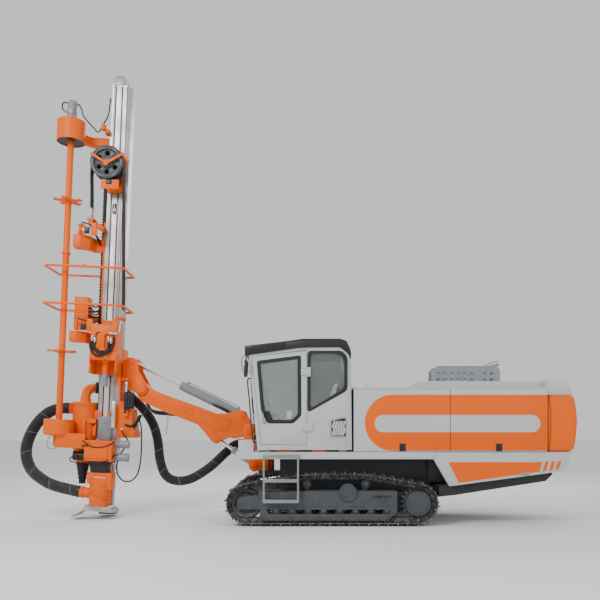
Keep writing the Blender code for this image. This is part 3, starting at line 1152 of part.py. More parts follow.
def joint_tree():
    """Every joint's empty, each on its axis and carried by the one before it."""
    y = boom_y
    axes = {"root": joint("root", (0, 0, 0))}
    # name, place, the joint that carries it
    table = [
        ("boom_swing", (post_x, y, 1.0), "root"),
        ("boom_lift", (lift_pivot[0], y, lift_pivot[1]), "boom_swing"),
        ("lift_barrel", (lift_base[0], y, lift_base[1]), "boom_swing"),
        ("lift_rod", (lift_eye[0], y, lift_eye[1]), "lift_barrel"),
        ("tilt_barrel", (tilt_base[0], y, tilt_base[1]), "boom_lift"),
        ("tilt_rod", (tilt_eye[0], y, tilt_eye[1]), "tilt_barrel"),
        ("mast_tilt", (head_pin[0], y, head_pin[1]), "boom_lift"),
        ("mast_swing", on_mast(swing_face_u, y, swing_w), "mast_tilt"),
        ("swing_barrel", on_mast(*swing_base), "mast_swing"),
        ("swing_rod", on_mast(*swing_eye), "swing_barrel"),
        ("mast_slide", on_mast(0, (beam_near_v + beam_far_v) / 2, 2.0), "mast_swing"),
        ("wheel_feed", on_mast(0, beam_near_v, 6.11), "mast_slide"),
        ("hose_wheel", on_mast(-0.10, -0.07, 6.11), "wheel_feed"),
        ("head_feed", on_mast(0, beam_near_v, 3.0), "wheel_feed"),
        ("spindle", on_mast(drill_u, drill_v, 2.5), "head_feed"),
        ("carousel", on_mast(carousel_u, carousel_v, 4.0), "mast_slide"),
        ("cab_door", (*hinge_axis, 2.0), "root"),
    ]
    for side, hand in ((-1, "left"), (1, "right")):
        for place, x in (("front", 1.84), ("rear", 3.37)):
            table.append(("hood_door_" + place + "_" + hand, (x, side * (hood_half + 0.028),
                                                              hood_top + 0.012),
                          "root"))
        table.append((hand + "_sprocket", (sprocket_x, side * track_centre_y, belt_z), "root"))
    for name, place, carrier in table:
        axes[name] = joint(name + "_axis", place, axes[carrier])
    return axes


def build():
    for old in list(bpy.data.objects):
        bpy.data.objects.remove(old)
    axes = joint_tree()
    root = axes["root"]
    for side, hand in ((-1, "left"), (1, "right")):
        track(hand + "_track", side, root)
        track_frame(hand + "_track_frame", side, root)
        sprocket(hand + "_sprocket", side, root)
    chassis(root)
    deck(root)
    ladder(root)
    cab_shell(root)
    cab_door(axes["cab_door"])
    cab_glass(root, axes["cab_door"])
    cab_roof(root)
    seat(root)
    hood(root, axes)
    engine_room(root)
    dust_collector(root)
    boom_group(axes)
    cradle(axes)
    mast = axes["mast_slide"]
    mast_beam(mast)
    clamp_table(mast)
    dust_hood(mast)
    cyclone(mast)
    carousel(axes)
    rod_arms(mast)
    hose_wheel(axes)
    rotary_head(axes)
    hoses(axes)


build()
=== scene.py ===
import math
import bmesh
import bpy
from mathutils import Matrix, Vector


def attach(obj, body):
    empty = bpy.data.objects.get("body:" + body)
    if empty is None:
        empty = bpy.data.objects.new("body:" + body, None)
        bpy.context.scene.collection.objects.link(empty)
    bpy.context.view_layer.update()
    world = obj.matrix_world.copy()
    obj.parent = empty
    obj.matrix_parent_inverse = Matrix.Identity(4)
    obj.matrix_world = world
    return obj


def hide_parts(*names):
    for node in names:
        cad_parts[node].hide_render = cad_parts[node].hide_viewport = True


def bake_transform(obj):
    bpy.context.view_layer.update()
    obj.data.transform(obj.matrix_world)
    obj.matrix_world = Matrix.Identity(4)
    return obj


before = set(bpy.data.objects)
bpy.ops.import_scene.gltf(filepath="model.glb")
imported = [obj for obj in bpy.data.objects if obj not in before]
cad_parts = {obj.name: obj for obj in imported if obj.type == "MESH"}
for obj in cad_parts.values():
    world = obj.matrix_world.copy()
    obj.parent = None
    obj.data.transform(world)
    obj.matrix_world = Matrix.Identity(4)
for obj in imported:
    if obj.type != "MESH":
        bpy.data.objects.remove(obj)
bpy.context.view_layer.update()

mastFrame = Matrix.Translation((-3.2376, 0, 0)) @ Matrix.Rotation(math.radians(2.4565), 4, "Y")


def onMast(u, v, w):
    return mastFrame @ Vector((u, v, w))


# Camera: level, with the horizon low in the picture as the photograph has it

cameraPlace = {"location": (0.235, -12.15, 1.53), "lens": 42, "shiftUp": 0.215}


def setCamera():
    lens = bpy.data.cameras.new("camera")
    lens.lens = cameraPlace["lens"]
    lens.sensor_width = 36
    lens.shift_y = cameraPlace["shiftUp"]
    camera = bpy.data.objects.new("camera", lens)
    bpy.context.scene.collection.objects.link(camera)
    camera.location = cameraPlace["location"]
    camera.rotation_euler = (math.radians(90), 0, 0)
    bpy.context.scene.camera = camera


setCamera()


# Ways of working


def deselect():
    active = bpy.context.view_layer.objects.active
    if active and active.mode != "OBJECT":
        bpy.ops.object.mode_set(mode="OBJECT")
    bpy.ops.object.select_all(action="DESELECT")


def work(piece):
    deselect()
    bpy.context.view_layer.objects.active = piece
    piece.select_set(True)


def edit(piece):
    # opens the piece with all of it selected
    work(piece)
    bpy.ops.object.mode_set(mode="EDIT")
    bpy.ops.mesh.select_mode(type="FACE")
    bpy.ops.mesh.select_all(action="SELECT")


def close(piece):
    bpy.ops.object.mode_set(mode="OBJECT")
    return piece


def apply(piece, kind, **values):
    work(piece)
    step = piece.modifiers.new("step", kind)
    for key, value in values.items():
        setattr(step, key, value)
    bpy.ops.object.modifier_apply(modifier="step")
    return piece


def soften(piece, width, segments=2, angle=40):
    if width:
        apply(piece, "BEVEL", width=width, segments=segments, limit_method="ANGLE",
              angle_limit=math.radians(angle), use_clamp_overlap=True)
    return piece


def settle(piece, matrix=None):
    # puts the place into the mesh
    work(piece)
    if matrix is not None:
        piece.matrix_world = matrix @ piece.matrix_world
    bpy.ops.object.transform_apply(location=True, rotation=True, scale=True)
    return piece


def cube(low, high, edge=0.003, segments=2):
    middle = [(a + b) / 2 for a, b in zip(low, high)]
    deselect()
    bpy.ops.mesh.primitive_cube_add(size=1, location=middle, scale=[b - a for a, b in zip(low, high)])
    piece = bpy.context.object
    settle(piece)
    return soften(piece, edge, segments)


def turnTo(direction):
    return Vector(direction).to_track_quat("Z", "Y").to_matrix().to_4x4()


def bar(start, end, radius, sides=24, edge=0.002):
    start, end = Vector(start), Vector(end)
    along = end - start
    deselect()
    bpy.ops.mesh.primitive_cone_add(vertices=sides, radius1=radius, radius2=radius, depth=along.length)
    piece = bpy.context.object
    settle(piece, Matrix.Translation((start + end) / 2) @ turnTo(along))
    return soften(piece, edge, 2, 50)


def bolt(start, end, radius, edge=0.001):
    return bar(start, end, radius, 6, edge)


def ringOf(points, fill):
    deselect()
    bpy.ops.mesh.primitive_circle_add(vertices=len(points), fill_type=fill)
    piece = bpy.context.object
    for vertex, point in zip(piece.data.vertices, points):
        vertex.co = point
    return piece


def plate(outline, low, high, edge=0.003, segments=2, axis="Y"):
    # outline in (x, z) along Y, (x, y) along Z or (y, z) along X
    def place(point, level):
        return {"Y": (point[0], level, point[1]), "Z": (*point, level), "X": (level, *point)}[axis]
    piece = ringOf([place(point, low) for point in outline], "NGON")
    push = Vector(place((0, 0), high)) - Vector(place((0, 0), low))
    edit(piece)
    bpy.ops.mesh.extrude_region_move(TRANSFORM_OT_translate={"value": push})
    bpy.ops.mesh.select_all(action="SELECT")
    bpy.ops.mesh.normals_make_consistent(inside=False)
    close(piece)
    return soften(piece, edge, segments)


def lathe(profile, base, direction, sides=40):
    # profile of (radius, distance), spun about the axis through base; open where it meets the axis
    piece = ringOf([(radius, 0, distance) for radius, distance in profile], "NOTHING")
    opened = profile[0][0] == 0 and profile[-1][0] == 0
    edit(piece)
    if opened:
        bpy.ops.mesh.select_mode(type="EDGE")
        bpy.ops.mesh.select_all(action="DESELECT")
        shape = bmesh.from_edit_mesh(piece.data)
        for line in shape.edges:
            line.select_set(all(abs(v.co.x) < 1e-7 for v in line.verts))
        bmesh.update_edit_mesh(piece.data)
        bpy.ops.mesh.delete(type="EDGE")
        bpy.ops.mesh.select_all(action="SELECT")
    bpy.ops.mesh.spin(steps=sides, angle=2 * math.pi, center=(0, 0, 0), axis=(0, 0, 1))
    bpy.ops.mesh.select_all(action="SELECT")
    bpy.ops.mesh.remove_doubles(threshold=0.00002)
    bpy.ops.mesh.normals_make_consistent(inside=False)
    close(piece)
    return settle(piece, Matrix.Translation(base) @ turnTo(direction))


def upright(profile, centre, sides=40):
    # spun about a vertical axis, with the profile's heights as they stand
    return lathe(profile, (*centre, 0), (0, 0, 1), sides)


def around(count, first, radius, centre=(0, 0)):
    # places evenly round a circle
    turns = [math.radians(first + 360 / count * i) for i in range(count)]
    return [(centre[0] + radius * math.cos(a), centre[1] + radius * math.sin(a)) for a in turns]


def smoothPath(knots, steps=4):
    path = []
    for i in range(len(knots) - 1):
        before, here = Vector(knots[max(i - 1, 0)]), Vector(knots[i])
        after, beyond = Vector(knots[i + 1]), Vector(knots[min(i + 2, len(knots) - 1)])
        for step in range(steps):
            t = step / steps
            path.append(0.5 * (2 * here + (after - before) * t + (2 * before - 5 * here + 4 * after - beyond) * t ** 2
                               + (3 * here - before - 3 * after + beyond) * t ** 3))
    return path + [Vector(knots[-1])]


def line(path, radius, resolution=3):
    curve = bpy.data.curves.new("line", "CURVE")
    curve.dimensions = "3D"
    curve.bevel_depth = radius
    curve.bevel_resolution = resolution
    curve.use_fill_caps = True
    spline = curve.splines.new("POLY")
    spline.points.add(len(path) - 1)
    for point, place in zip(spline.points, path):
        point.co = (*place, 1)
    piece = bpy.data.objects.new("line", curve)
    bpy.context.scene.collection.objects.link(piece)
    return piece


def pipe(path, radius, resolution=3):
    piece = line(path, radius, resolution)
    work(piece)
    bpy.ops.object.convert(target="MESH")
    piece = bpy.context.object
    edit(piece)
    bpy.ops.mesh.remove_doubles(threshold=0.00002)
    bpy.ops.mesh.normals_make_consistent(inside=False)
    return close(piece)


def again(piece, matrices):
    # the piece and its copies, each with its own mesh
    made = []
    for matrix in matrices:
        twin = bpy.data.objects.new(piece.name, piece.data.copy())
        bpy.context.scene.collection.objects.link(twin)
        twin.data.transform(matrix)
        made.append(twin)
    bpy.data.objects.remove(piece)
    return made


def joined(pieces):
    work(pieces[0])
    for piece in pieces[1:]:
        piece.select_set(True)
    if len(pieces) > 1:
        bpy.ops.object.join()
    return bpy.context.object


def put(name, body, look, pieces, onBeam=False, nodes=(), smooth=35):
    # joins the pieces, gives them their finish and lets them ride
    piece = joined(pieces if isinstance(pieces, list) else [pieces])
    settle(piece, mastFrame if onBeam else None)
    piece.name = name
    piece.data.name = name
    piece.data.materials.clear()
    piece.data.materials.append(looks[look][0])
    for face in piece.data.polygons:
        face.material_index = 0
    work(piece)
    bpy.ops.object.shade_smooth_by_angle(angle=math.radians(smooth))
    if body:
        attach(piece, body)
    if nodes:
        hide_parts(*nodes)
    return piece


def grid(firstX, firstZ, stepX, stepZ, columns, rows):
    return [(firstX + i * stepX, firstZ + j * stepZ) for j in range(rows) for i in range(columns)]


def arc(centre, radius, start, end, count):
    turns = [math.radians(start + (end - start) * i / (count - 1)) for i in range(count)]
    return [(centre[0] + radius * math.cos(a), centre[1] + radius * math.sin(a)) for a in turns]


def roundOff(outline, radius, count=5):
    # the outline with each corner made an arc of about the radius
    made = []
    for i, corner in enumerate(outline):
        here = Vector(corner)
        before, after = Vector(outline[i - 1]) - here, Vector(outline[(i + 1) % len(outline)]) - here
        reach = min(radius, before.length * 0.45, after.length * 0.45)
        one, other = here + before.normalized() * reach, here + after.normalized() * reach
        for step in range(count):
            t = step / (count - 1)
            made.append(tuple((1 - t) ** 2 * one + 2 * t * (1 - t) * here + t ** 2 * other))
    return made


def box(x, y, z, edge=0.003, segments=2):
    return cube([min(span) for span in (x, y, z)], [max(span) for span in (x, y, z)], edge, segments)


def shrunk(outline, amount):
    # the outline moved inwards by the amount
    turn = sum(a[0] * b[1] - b[0] * a[1] for a, b in zip(outline, outline[1:] + outline[:1]))
    made = []
    for i, point in enumerate(outline):
        here = Vector(point)
        before, after = here - Vector(outline[i - 1]), Vector(outline[(i + 1) % len(outline)]) - here
        one, other = [Vector((-way.y, way.x)).normalized() * math.copysign(1, turn) for way in (before, after)]
        middle = (one + other).normalized()
        made.append(tuple(here + middle * amount / max(0.5, middle.dot(one))))
    return made


def cutBy(piece, tool):
    apply(piece, "BOOLEAN", operation="DIFFERENCE", object=tool, solver="EXACT")
    bpy.data.objects.remove(tool)
    return piece


def band(outline, width, low, high, edge=0.001, axis="Y"):
    # a flat closed strip just inside the outline
    hole = shrunk(outline, width)
    strip = cutBy(plate(outline, low, high, 0, axis=axis), plate(hole, low - 0.5, high + 0.5, 0, axis=axis))
    return soften(strip, edge, 1)


# Effects that several finishes share


def effect(name, inputs, outputs):
    group = bpy.data.node_groups.new(name, "ShaderNodeTree")
    for label, kind, value in inputs:
        socket = group.interface.new_socket(label, in_out="INPUT", socket_type=kind)
        socket.default_value = value
    for label, kind in outputs:
        group.interface.new_socket(label, in_out="OUTPUT", socket_type=kind)
    start = group.nodes.new("NodeGroupInput")
    end = group.nodes.new("NodeGroupOutput")
    return group, start, end


def node(tree, kind, links=(), **values):
    made = tree.nodes.new("ShaderNode" + kind)
    for key, value in values.items():
        if hasattr(made, key):
            setattr(made, key, value)
        else:
            made.inputs[key.replace("_", " ")].default_value = value
    for source, target in links:
        tree.links.new(source, made.inputs[target])
    return made


def numberMix(tree, kind, one, other):
    made = node(tree, "Math", operation=kind)
    for i, value in enumerate((one, other)):
        if isinstance(value, (int, float)):
            made.inputs[i].default_value = value
        else:
            tree.links.new(value, made.inputs[i])
    return made.outputs[0]


def colourMix(tree, factor, one, other, blend="MIX"):
    made = node(tree, "Mix", data_type="RGBA", blend_type=blend)
    for socket, value in ((made.inputs[0], factor), (made.inputs[6], one), (made.inputs[7], other)):
        if isinstance(value, (int, float, tuple)):
            socket.default_value = value
        else:
            tree.links.new(value, socket)
    return made.outputs[2]


def toneEffect():
    # paint that is never quite one colour, with soft streaks that run down
    group, start, end = effect("unevenTone", [("Colour", "NodeSocketColor", (0.5, 0.5, 0.5, 1)),
                                              ("Depth", "NodeSocketFloat", 0.1), ("Scale", "NodeSocketFloat", 2.0)],
                               [("Colour", "NodeSocketColor"), ("Mask", "NodeSocketFloat")])
    place = node(group, "TexCoord")
    stretch = node(group, "Mapping", [(place.outputs["Object"], "Vector")], Scale=(1, 1, 0.35))
    cloud = node(group, "TexNoise", [(stretch.outputs[0], "Vector"), (start.outputs["Scale"], "Scale")],
                 Detail=6.0, Roughness=0.6)
    dark = numberMix(group, "MULTIPLY", start.outputs["Depth"], cloud.outputs["Fac"])
    tone = colourMix(group, dark, start.outputs["Colour"], (0.12, 0.11, 0.1, 1), "MULTIPLY")
    group.links.new(tone, end.inputs["Colour"])
    group.links.new(cloud.outputs["Fac"], end.inputs["Mask"])
    return group


def dustEffect():
    # pale dust, thick near the ground and on faces that look up
    group, start, end = effect("groundDust", [("Colour", "NodeSocketColor", (0.5, 0.5, 0.5, 1)),
                                              ("Dust", "NodeSocketColor", (0.42, 0.39, 0.34, 1)),
                                              ("Height", "NodeSocketFloat", 0.9), ("Amount", "NodeSocketFloat", 0.3)],
                               [("Colour", "NodeSocketColor"), ("Mask", "NodeSocketFloat")])
    place = node(group, "TexCoord")
    split = node(group, "SeparateXYZ", [(place.outputs["Object"], "Vector")])
    low = numberMix(group, "SUBTRACT", 1.0, numberMix(group, "DIVIDE", split.outputs["Z"], start.outputs["Height"]))
    solidNormal = node(group, "NewGeometry")
    facing = node(group, "SeparateXYZ", [(solidNormal.outputs["Normal"], "Vector")])
    top = numberMix(group, "MULTIPLY", numberMix(group, "MAXIMUM", facing.outputs["Z"], 0.0), 0.45)
    both = numberMix(group, "ADD", numberMix(group, "MAXIMUM", low, 0.0), top)
    cloud = node(group, "TexNoise", [(place.outputs["Object"], "Vector")], Scale=7.0, Detail=7.0, Roughness=0.65)
    patch = node(group, "MapRange", [(cloud.outputs["Fac"], "Value")], From_Min=0.35, From_Max=0.75)
    mask = numberMix(group, "MULTIPLY", numberMix(group, "MULTIPLY", both, patch.outputs[0]), start.outputs["Amount"])
    group.links.new(colourMix(group, mask, start.outputs["Colour"], start.outputs["Dust"]), end.inputs["Colour"])
    group.links.new(mask, end.inputs["Mask"])
    return group


def wearEffect():
    # edges rubbed to another colour, broken up by fine noise
    group, start, end = effect("rubbedEdges", [("Colour", "NodeSocketColor", (0.5, 0.5, 0.5, 1)),
                                               ("Bare", "NodeSocketColor", (0.6, 0.6, 0.6, 1)),
                                               ("Amount", "NodeSocketFloat", 0.5)],
                               [("Colour", "NodeSocketColor"), ("Mask", "NodeSocketFloat")])
    shape = node(group, "NewGeometry")
    place = node(group, "TexCoord")
    cloud = node(group, "TexNoise", [(place.outputs["Object"], "Vector")], Scale=38.0, Detail=5.0, Roughness=0.7)
    edge = node(group, "MapRange", [(shape.outputs["Pointiness"], "Value")], From_Min=0.52, From_Max=0.60)
    patch = node(group, "MapRange", [(cloud.outputs["Fac"], "Value")], From_Min=0.48, From_Max=0.62)
    mask = numberMix(group, "MULTIPLY", numberMix(group, "MULTIPLY", edge.outputs[0], patch.outputs[0]),
                     start.outputs["Amount"])
    group.links.new(colourMix(group, mask, start.outputs["Colour"], start.outputs["Bare"]), end.inputs["Colour"])
    group.links.new(mask, end.inputs["Mask"])
    return group


def grainEffect():
    # fine even texture: paint peel, cast skin or moulded grain by its scale
    group, start, end = effect("fineGrain", [("Scale", "NodeSocketFloat", 400.0), ("Broad", "NodeSocketFloat", 0.3)],
                               [("Height", "NodeSocketFloat")])
    place = node(group, "TexCoord")
    fine = node(group, "TexNoise", [(place.outputs["Object"], "Vector"), (start.outputs["Scale"], "Scale")],
                Detail=2.0, Roughness=0.5)
    wide = node(group, "TexNoise", [(place.outputs["Object"], "Vector")], Scale=5.0, Detail=2.0)
    both = numberMix(group, "ADD", fine.outputs["Fac"],
                     numberMix(group, "MULTIPLY", wide.outputs["Fac"], start.outputs["Broad"]))
    group.links.new(both, end.inputs["Height"])
    return group


def drawnEffect():
    # fine lines left along the beam by the die
    group, start, end = effect("drawnLines", [("Scale", "NodeSocketFloat", 60.0)],
                               [("Height", "NodeSocketFloat"), ("Mask", "NodeSocketFloat")])
    place = node(group, "TexCoord")
    turn = node(group, "Mapping", [(place.outputs["Object"], "Vector")],
                Rotation=(0, math.radians(-2.4565), 0), Scale=(1, 1, 0.012))
    fine = node(group, "TexNoise", [(turn.outputs[0], "Vector"), (start.outputs["Scale"], "Scale")],
                Detail=4.0, Roughness=0.7)
    stain = node(group, "TexNoise", [(place.outputs["Object"], "Vector")], Scale=3.0, Detail=5.0)
    group.links.new(fine.outputs["Fac"], end.inputs["Height"])
    group.links.new(stain.outputs["Fac"], end.inputs["Mask"])
    return group


def weaveEffect():
    # over and under threads
    group, start, end = effect("wovenThreads", [("Scale", "NodeSocketFloat", 220.0)],
                               [("Height", "NodeSocketFloat"), ("Mask", "NodeSocketFloat")])
    place = node(group, "TexCoord")
    waves = []
    for direction in ("X", "Z"):
        wave = node(group, "TexWave", [(place.outputs["Object"], "Vector"), (start.outputs["Scale"], "Scale")],
                    bands_direction=direction, Distortion=0.6, Detail=1.0)
        waves.append(wave.outputs["Fac"])
    both = numberMix(group, "MULTIPLY", waves[0], waves[1])
    group.links.new(both, end.inputs["Height"])
    group.links.new(both, end.inputs["Mask"])
    return group


effects = {"tone": toneEffect(), "dust": dustEffect(), "wear": wearEffect(), "grain": grainEffect(),
           "drawn": drawnEffect(), "weave": weaveEffect()}


def use(tree, name, **inputs):
    made = tree.nodes.new("ShaderNodeGroup")
    made.node_tree = effects[name]
    for key, value in inputs.items():
        if isinstance(value, (int, float, tuple)):
            made.inputs[key].default_value = value
        else:
            tree.links.new(value, made.inputs[key])
    return made.outputs


def blank(name, **values):
    material = bpy.data.materials.new(name)
    material.use_nodes = True
    tree = material.node_tree
    shader = tree.nodes["Principled BSDF"]
    for key, value in values.items():
        shader.inputs[key.replace("_", " ")].default_value = value
    return material, tree, shader


def bumped(tree, shader, height, strength, distance):
    bump = node(tree, "Bump", [(height, "Height")], Strength=strength, Distance=distance)
    tree.links.new(bump.outputs[0], shader.inputs["Normal"])


def painted(name, colour, roughness, coat=0.0, dust=0.25, dustHeight=1.0, bare=(0.3, 0.3, 0.3, 1), wear=0.3,
            peel=420.0, depth=0.12, bump=0.12):
    # sprayed paint: uneven tone, dust, rubbed edges and a fine peel
    material, tree, shader = blank(name, Coat_Weight=coat, Coat_Roughness=0.18, Specular_IOR_Level=0.2)
    tone = use(tree, "tone", Colour=(*colour, 1), Depth=depth, Scale=1.6)
    rubbed = use(tree, "wear", Colour=tone["Colour"], Bare=bare, Amount=wear)
    dusty = use(tree, "dust", Colour=rubbed["Colour"], Height=dustHeight, Amount=dust)
    tree.links.new(dusty["Colour"], shader.inputs["Base Color"])
    rough = numberMix(tree, "ADD", numberMix(tree, "MULTIPLY", tone["Mask"], 0.14), roughness - 0.07)
    tree.links.new(numberMix(tree, "ADD", rough, numberMix(tree, "MULTIPLY", dusty["Mask"], 0.35)),
                   shader.inputs["Roughness"])
    bumped(tree, shader, use(tree, "grain", Scale=peel)["Height"], bump, 0.0006)
    return material


def metal(name, colour, roughness, lines=False, depth=0.25, dust=0.0):
    material, tree, shader = blank(name, Metallic=1.0)
    if lines:
        marks = use(tree, "drawn", Scale=70.0)
    else:
        marks = {"Height": use(tree, "grain", Scale=160.0)["Height"],
                 "Mask": use(tree, "tone", Colour=(1, 1, 1, 1), Depth=0.5, Scale=9.0)["Mask"]}
    tone = colourMix(tree, numberMix(tree, "MULTIPLY", marks["Mask"], depth), (*colour, 1), (0.1, 0.1, 0.1, 1))
    dusty = use(tree, "dust", Colour=tone, Height=0.8, Amount=dust)
    tree.links.new(dusty["Colour"], shader.inputs["Base Color"])
    tree.links.new(numberMix(tree, "ADD", numberMix(tree, "MULTIPLY", marks["Mask"], 0.2), roughness - 0.1),
                   shader.inputs["Roughness"])
    bumped(tree, shader, marks["Height"], 0.15, 0.0005)
    return material


def rubberLike(name, colour, roughness, scale, dust=0.25, woven=False, strength=0.4, sheen=0.0):
    material, tree, shader = blank(name, Specular_IOR_Level=0.35, Sheen_Weight=sheen)
    tone = use(tree, "tone", Colour=(*colour, 1), Depth=0.5, Scale=6.0)
    dusty = use(tree, "dust", Colour=tone["Colour"], Height=1.2, Amount=dust)
    tree.links.new(dusty["Colour"], shader.inputs["Base Color"])
    tree.links.new(numberMix(tree, "ADD", numberMix(tree, "MULTIPLY", tone["Mask"], 0.2), roughness - 0.1),
                   shader.inputs["Roughness"])
    marks = use(tree, "weave", Scale=scale) if woven else use(tree, "grain", Scale=scale)
    bumped(tree, shader, marks["Height"], strength, 0.001)
    return material


def glassLike():
    material, tree, shader = blank("tintedGlass", Transmission_Weight=0.9, IOR=1.45, Roughness=0.02,
                                   Specular_IOR_Level=0.6)
    tone = use(tree, "tone", Colour=(0.62, 0.68, 0.66, 1), Depth=0.2, Scale=1.2)
    tree.links.new(tone["Colour"], shader.inputs["Base Color"])
    bumped(tree, shader, use(tree, "grain", Scale=3.0, Broad=1.0)["Height"], 0.03, 0.002)
    return material


# finish: (material, slot of the record)
looks = {
    "orange": (painted("orangePaint", (0.88, 0.128, 0.0), 0.45, 0.0, 0.02, bare=(0.45, 0.08, 0.01, 1)), "orange"),
    "grey": (painted("greyPaint", (0.52, 0.525, 0.535), 0.38, 0.20, 0.08, bare=(0.7, 0.7, 0.7, 1), wear=0.2),
             "panel_grey"),
    "dark": (painted("frameGreyPaint", (0.052, 0.060, 0.068), 0.45, 0.1, 0.14, 1.0, (0.2, 0.2, 0.21, 1)), "frame_grey"),
    "cylinder": (painted("cylinderGreyPaint", (0.235, 0.25, 0.275), 0.36, 0.3, 0.1), "cylinder_grey"),
    "black": (painted("blackPaint", (0.022, 0.025, 0.026), 0.42, 0.1, 0.10, bare=(0.08, 0.08, 0.08, 1)), "black"),
    "plastic": (rubberLike("mouldedPlastic", (0.02, 0.021, 0.022), 0.55, 900.0, 0.05), "black"),
    "rubber": (rubberLike("hoseRubber", (0.014, 0.014, 0.014), 0.62, 260.0, 0.12), "rubber"),
    "fabricHose": (rubberLike("wrappedHose", (0.016, 0.0165, 0.0165), 0.8, 95.0, 0.15, True, 0.7, 0.15), "rubber"),
    "pale": (rubberLike("paleRubber", (0.50, 0.485, 0.43), 0.7, 300.0, 0.2), "pale_rubber"),
    "green": (rubberLike("greenMark", (0.06, 0.30, 0.17), 0.7, 300.0, 0.1), "rubber"),
    "redMark": (rubberLike("redMark", (0.30, 0.03, 0.02), 0.6, 300.0, 0.1), "rubber"),
    "beam": (metal("drawnAluminium", (0.54, 0.52, 0.50), 0.46, True, 0.55), "aluminium"),
    "steel": (metal("bareSteel", (0.34, 0.345, 0.35), 0.38, dust=0.1), "steel"),
    "zinc": (metal("platedFittings", (0.62, 0.60, 0.54), 0.32, dust=0.05), "steel"),
    "chrome": (metal("hardChrome", (0.80, 0.81, 0.83), 0.16, depth=0.06), "chrome"),
    "track": (painted("trackSteel", (0.030, 0.031, 0.033), 0.5, 0.0, 0.30, 0.8, (0.26, 0.25, 0.24, 1), 0.8, 140.0,
                      0.4, 0.5), "frame_grey"),
    "glass": (glassLike(), "glass"),
    "cloth": (rubberLike("seatCloth", (0.035, 0.036, 0.04), 0.85, 420.0, 0.05, True, 0.6, 0.4), "seat_cloth"),
    "coverOrange": (painted("orangeCover", (0.88, 0.128, 0.0), 0.42, 0.0, 0.02, bare=(0.45, 0.08, 0.01, 1)),
                    "cover_orange"),
    "cover": (painted("coverPaint", (0.57, 0.575, 0.585), 0.45, 0.1, 0.15, bare=(0.7, 0.7, 0.7, 1), wear=0.2),
              "cover_grey"),
}
print("finishes ready")


def dressed(name, source, body, look, edge, segments=2, smooth=35):
    # a CAD node with its doubles merged, its facets cleared and its edges rounded
    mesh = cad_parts[source].data.copy()
    piece = bpy.data.objects.new(name, mesh)
    bpy.context.scene.collection.objects.link(piece)
    edit(piece)
    bpy.ops.mesh.remove_doubles(threshold=0.00001)
    bpy.ops.mesh.dissolve_limited(angle_limit=math.radians(0.5))
    close(piece)
    soften(piece, edge, segments, 32)
    return put(name, body, look, piece, nodes=[source], smooth=smooth)


# node: (piece, body, look, width of its edges)
panels = {
    "boom": ("boomBeam", "boom", "orange", 0.008),
    "boom_bracket": ("headBracket", "boom_bracket", "orange", 0.006),
    "boom_post": ("boomPost", "boom_post", "orange", 0.006),
    "cab_door": ("cabDoorPanel", "cab_door", "grey", 0.005),
    "cab_roof": ("cabRoofCap", "machine", "black", 0.012),
    "cab_shell": ("cabShellPanels", "machine", "grey", 0.010),
    "carousel": ("carouselStars", "carousel", "orange", 0.003),
    "carousel_base": ("carouselHousing", "mast", "orange", 0.006),
    "carousel_drum": ("carouselDrumTop", "mast", "orange", 0.006),
    "chassis_frame": ("chassisWeldment", "machine", "dark", 0.008),
    "clamp_table": ("clampBlock", "mast", "orange", 0.006),
    "cradle": ("mastCradle", "cradle", "orange", 0.005),
    "cyclone": ("cycloneDrum", "mast", "orange", 0.004),
    "deck": ("deckPlates", "machine", "grey", 0.005),
    "dust_collector": ("filterHousing", "machine", "cover", 0.008),
    "dust_hood": ("suctionHood", "mast", "orange", 0.005),
    "engine_block": ("engineBlock", "machine", "dark", 0.010),
    "guard_hoops": ("guardHoops", "mast", "orange", 0.006),
    "hood_frame": ("hoodFrame", "machine", "black", 0.004),
    "hood_roof": ("hoodRoofPanel", "machine", "grey", 0.006),
    "hood_skirt": ("hoodSkirtSheet", "mast", "pale", 0.004),
    "hose_wheel": ("hoseWheelRim", "hose_wheel", "dark", 0.004),
    "ladder": ("ladderSteps", "machine", "steel", 0.004),
    "mast_beam": ("feedBeam", "mast", "beam", 0.004),
    "rod_arms": ("rodArms", "mast", "orange", 0.005),
    "rotary_head": ("rotaryHeadCase", "rotary_head", "orange", 0.006),
    "wheel_carriage": ("wheelCarriagePlate", "wheel_carriage", "orange", 0.005),
    "swing_barrel": ("swingBarrel", "swing_barrel", "black", 0.002),
    "swing_rod": ("swingRod", "swing_rod", "chrome", 0.001),
    "door_window": ("doorPane", "cab_door", "glass", 0.001),
    "rear_side_window": ("sidePane", "machine", "glass", 0.001),
    "right_window": ("rightPane", "machine", "glass", 0.001),
    "windscreen": ("frontPane", "machine", "glass", 0.001),
}

for source, (name, body, look, edge) in panels.items():
    dressed(name, source, body, look, edge)
print("panels dressed")


# Undercarriage

belt = {"idler": (-0.615, 0.353), "drive": (2.102, 0.353), "wheel": 0.227, "carriers": (0.345, 1.271),
        "carrierZ": 0.66, "carrierRadius": 0.07, "rail": 0.075, "shoes": 48, "centre": 0.99, "half": 0.19,
        "pivot": (0.989, 0.531), "teeth": 20}


